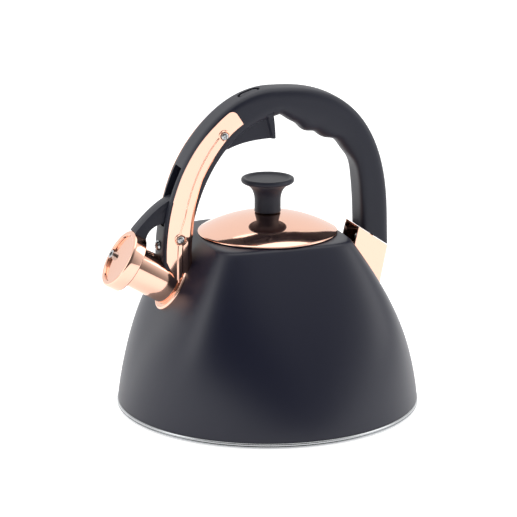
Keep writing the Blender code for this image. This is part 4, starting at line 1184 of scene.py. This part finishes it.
# ---------------------------------------------------------------- studio
@dataclass
class Studio:
    """A plain white floor and backdrop, soft lights, and the camera."""

    eye: tuple[float, float, float] = (-0.5493, -1.5952, 0.5673)
    aim: tuple[float, float, float] = (-0.0063, 0.0021, 0.1084)
    lens: float = 165.6

    def softbox(self, name: str, place: Sequence[float], aim: Sequence[float],
                size: tuple[float, float], power: float) -> None:
        """Adds a soft area light that faces a point."""
        data = bpy.data.lights.new(name, "AREA")
        data.shape = "RECTANGLE"
        data.size, data.size_y = size
        data.energy = power
        lamp = bpy.data.objects.new(name, data)
        lamp.location = place
        lamp.rotation_mode = "QUATERNION"
        lamp.rotation_quaternion = (Vector(aim) - Vector(place)).to_track_quat("-Z", "Y")
        bpy.context.scene.collection.objects.link(lamp)

    def camera(self) -> None:
        """Adds the camera and makes it the scene's own."""
        data = bpy.data.cameras.new("camera")
        data.lens = self.lens
        data.sensor_width = 36.0
        data.clip_end = 50.0
        eye = bpy.data.objects.new("camera", data)
        eye.location = self.eye
        eye.rotation_mode = "QUATERNION"
        eye.rotation_quaternion = (Vector(self.aim) - Vector(self.eye)).to_track_quat("-Z", "Y")
        bpy.context.scene.collection.objects.link(eye)
        bpy.context.scene.camera = eye

    def floor(self) -> None:
        """Adds the floor, a wide pale sheet under the kettle."""
        half = 4000.0
        corners = np.array([(-half, -half, 0), (half, -half, 0), (half, half, 0),
                            (-half, half, 0)], float)
        pale = Finish("pale_paper_floor", "#ffffff", 0.9).material()
        sheet = put_mesh("floor", corners, np.array([[0, 1, 2, 3]]), pale)
        if sheet.data.polygons[0].normal.z < 0:
            sheet.data.flip_normals()
        shader = pale.node_tree.nodes["Principled BSDF"]
        shader.inputs["Emission Color"].default_value = (1, 1, 1, 1)
        shader.inputs["Emission Strength"].default_value = 0.45
        shader.inputs["Specular IOR Level"].default_value = 0.0

    def sky(self) -> None:
        """Lights the room from all round: white, with a dim side where the camera stands."""
        world = bpy.data.worlds.new("room")
        world.use_nodes = True
        tree = world.node_tree
        background = tree.nodes["Background"]
        way = add_node(tree, "ShaderNodeTexCoord", {}, {}).outputs["Generated"]
        towards = Vector((self.eye[0], self.eye[1], 0.55)).normalized()
        facing = add_node(tree, "ShaderNodeVectorMath", {"operation": "DOT_PRODUCT"}, {
            "Vector": way})
        facing.inputs[1].default_value = towards
        dim = add_node(tree, "ShaderNodeMapRange", {"interpolation_type": "SMOOTHSTEP"}, {
            "Value": facing.outputs["Value"], "From Min": 0.35, "From Max": 0.9, "To Min": 1.0,
            "To Max": 0.12})
        seen = add_node(tree, "ShaderNodeLightPath", {}, {}).outputs["Is Camera Ray"]
        level = add_node(tree, "ShaderNodeMix", {}, {"Factor": seen})
        tree.links.new(dim.outputs["Result"], level.inputs["A"])
        level.inputs["B"].default_value = 1.05
        tree.links.new(level.outputs["Result"], background.inputs["Strength"])
        background.inputs["Color"].default_value = (1, 1, 1, 1)
        bpy.context.scene.world = world

    def build(self) -> None:
        """Sets up the whole studio."""
        bpy.context.scene.view_settings.view_transform = "Standard"
        self.camera()
        self.floor()
        self.sky()
        self.softbox("right_softbox", (1.5, -0.5, 0.75), (0, 0, 0.1), (0.9, 1.2), 5.0)
        self.softbox("left_softbox", (-1.6, 0.1, 0.8), (0, 0, 0.1), (0.7, 1.2), 4.0)
        self.softbox("top_softbox", (0.1, 0.2, 1.7), (0, 0, 0.1), (1.4, 1.4), 6.0)


# ---------------------------------------------------------------- the whole kettle
def dress_cad(finishes: Mapping[str, bpy.types.Material]) -> None:
    """Gives the CAD nodes that stay visible their finish.

    Args:
        finishes: A material for each node name, with "" for all others.
    """
    for name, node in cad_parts.items():
        material = finishes.get(name, finishes[""])
        node.data.materials.clear()
        node.data.materials.append(material)


def build_screws(steel: bpy.types.Material) -> list[bpy.types.Object]:
    """Builds every screw that shows."""
    screw, bracket, made = PanScrew(), FrontBracket(), []
    seats = {"upper": bracket.upper_screw, "lower": bracket.lower_screw}
    for level, (x, z) in seats.items():
        for sign, side, turn in ((-1, "left", 38.0), (1, "right", 12.0)):
            made.append(screw.build(f"channel_screw_{level}_{side}",
                                    f"bracket_screw_{level}_{side}", "kettle",
                                    (x, sign * (bracket.half_width + 0.25), z),
                                    (0, -sign, 0), 5.5,
                                    turn + 50 * (level == "lower"), steel))
    low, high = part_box("lever_cover_screw")
    domed = PanScrew(head_radius=3.8, head_height=2.6, cross_half=0.45, cross_reach=1.9,
                     cross_depth=1.4)
    made.append(domed.build("cover_screw", "lever_cover_screw", "kettle",
                            (low.x / MM + 1.6, 0, (low.z + high.z) / 2 / MM), (1, 0, 0), 6.0, 25,
                            steel))
    return made


def main() -> None:
    """Builds the studio and every piece, in order."""
    logging.basicConfig(level=logging.INFO, format="%(name)s: %(message)s")
    Studio().build()
    enamel, soft, bare = (f.material() for f in (NAVY_ENAMEL, SOFT_TOUCH, BARE_NYLON))
    gold, bright, dull = (f.material() for f in (ROSE_GOLD, BRIGHT_STEEL, DULL_STEEL))
    plain = ALUMINIUM.material()
    dress_cad({"": dull, "heat_plate": plain, "thumb_lever": bare, "lever_cover": soft,
               "whistle_plate_inner": gold, "thumb_lever_pin": bright,
               "spout_lever_pin": bright})
    body, spout, cap, arch = Body(), Spout(), WhistleCap(), Arch()
    made = body.build(enamel, spout)
    made += Base().build(bright)
    made += spout.build(gold, body)
    made += cap.build(gold, bright, spout)
    made += Lid().build(gold)
    made += Knob().build(soft)
    made += Handle().build(soft, arch, body, spout)
    made += FrontBracket().build(gold, arch)
    made += RearBracket().build(gold)
    made += SpoutLever().build(soft, spout, cap)
    made += build_screws(bright)
    for piece in made:
        log.info("%s: %d faces", piece.name, len(piece.data.polygons))


if __name__ == "__main__":
    main()
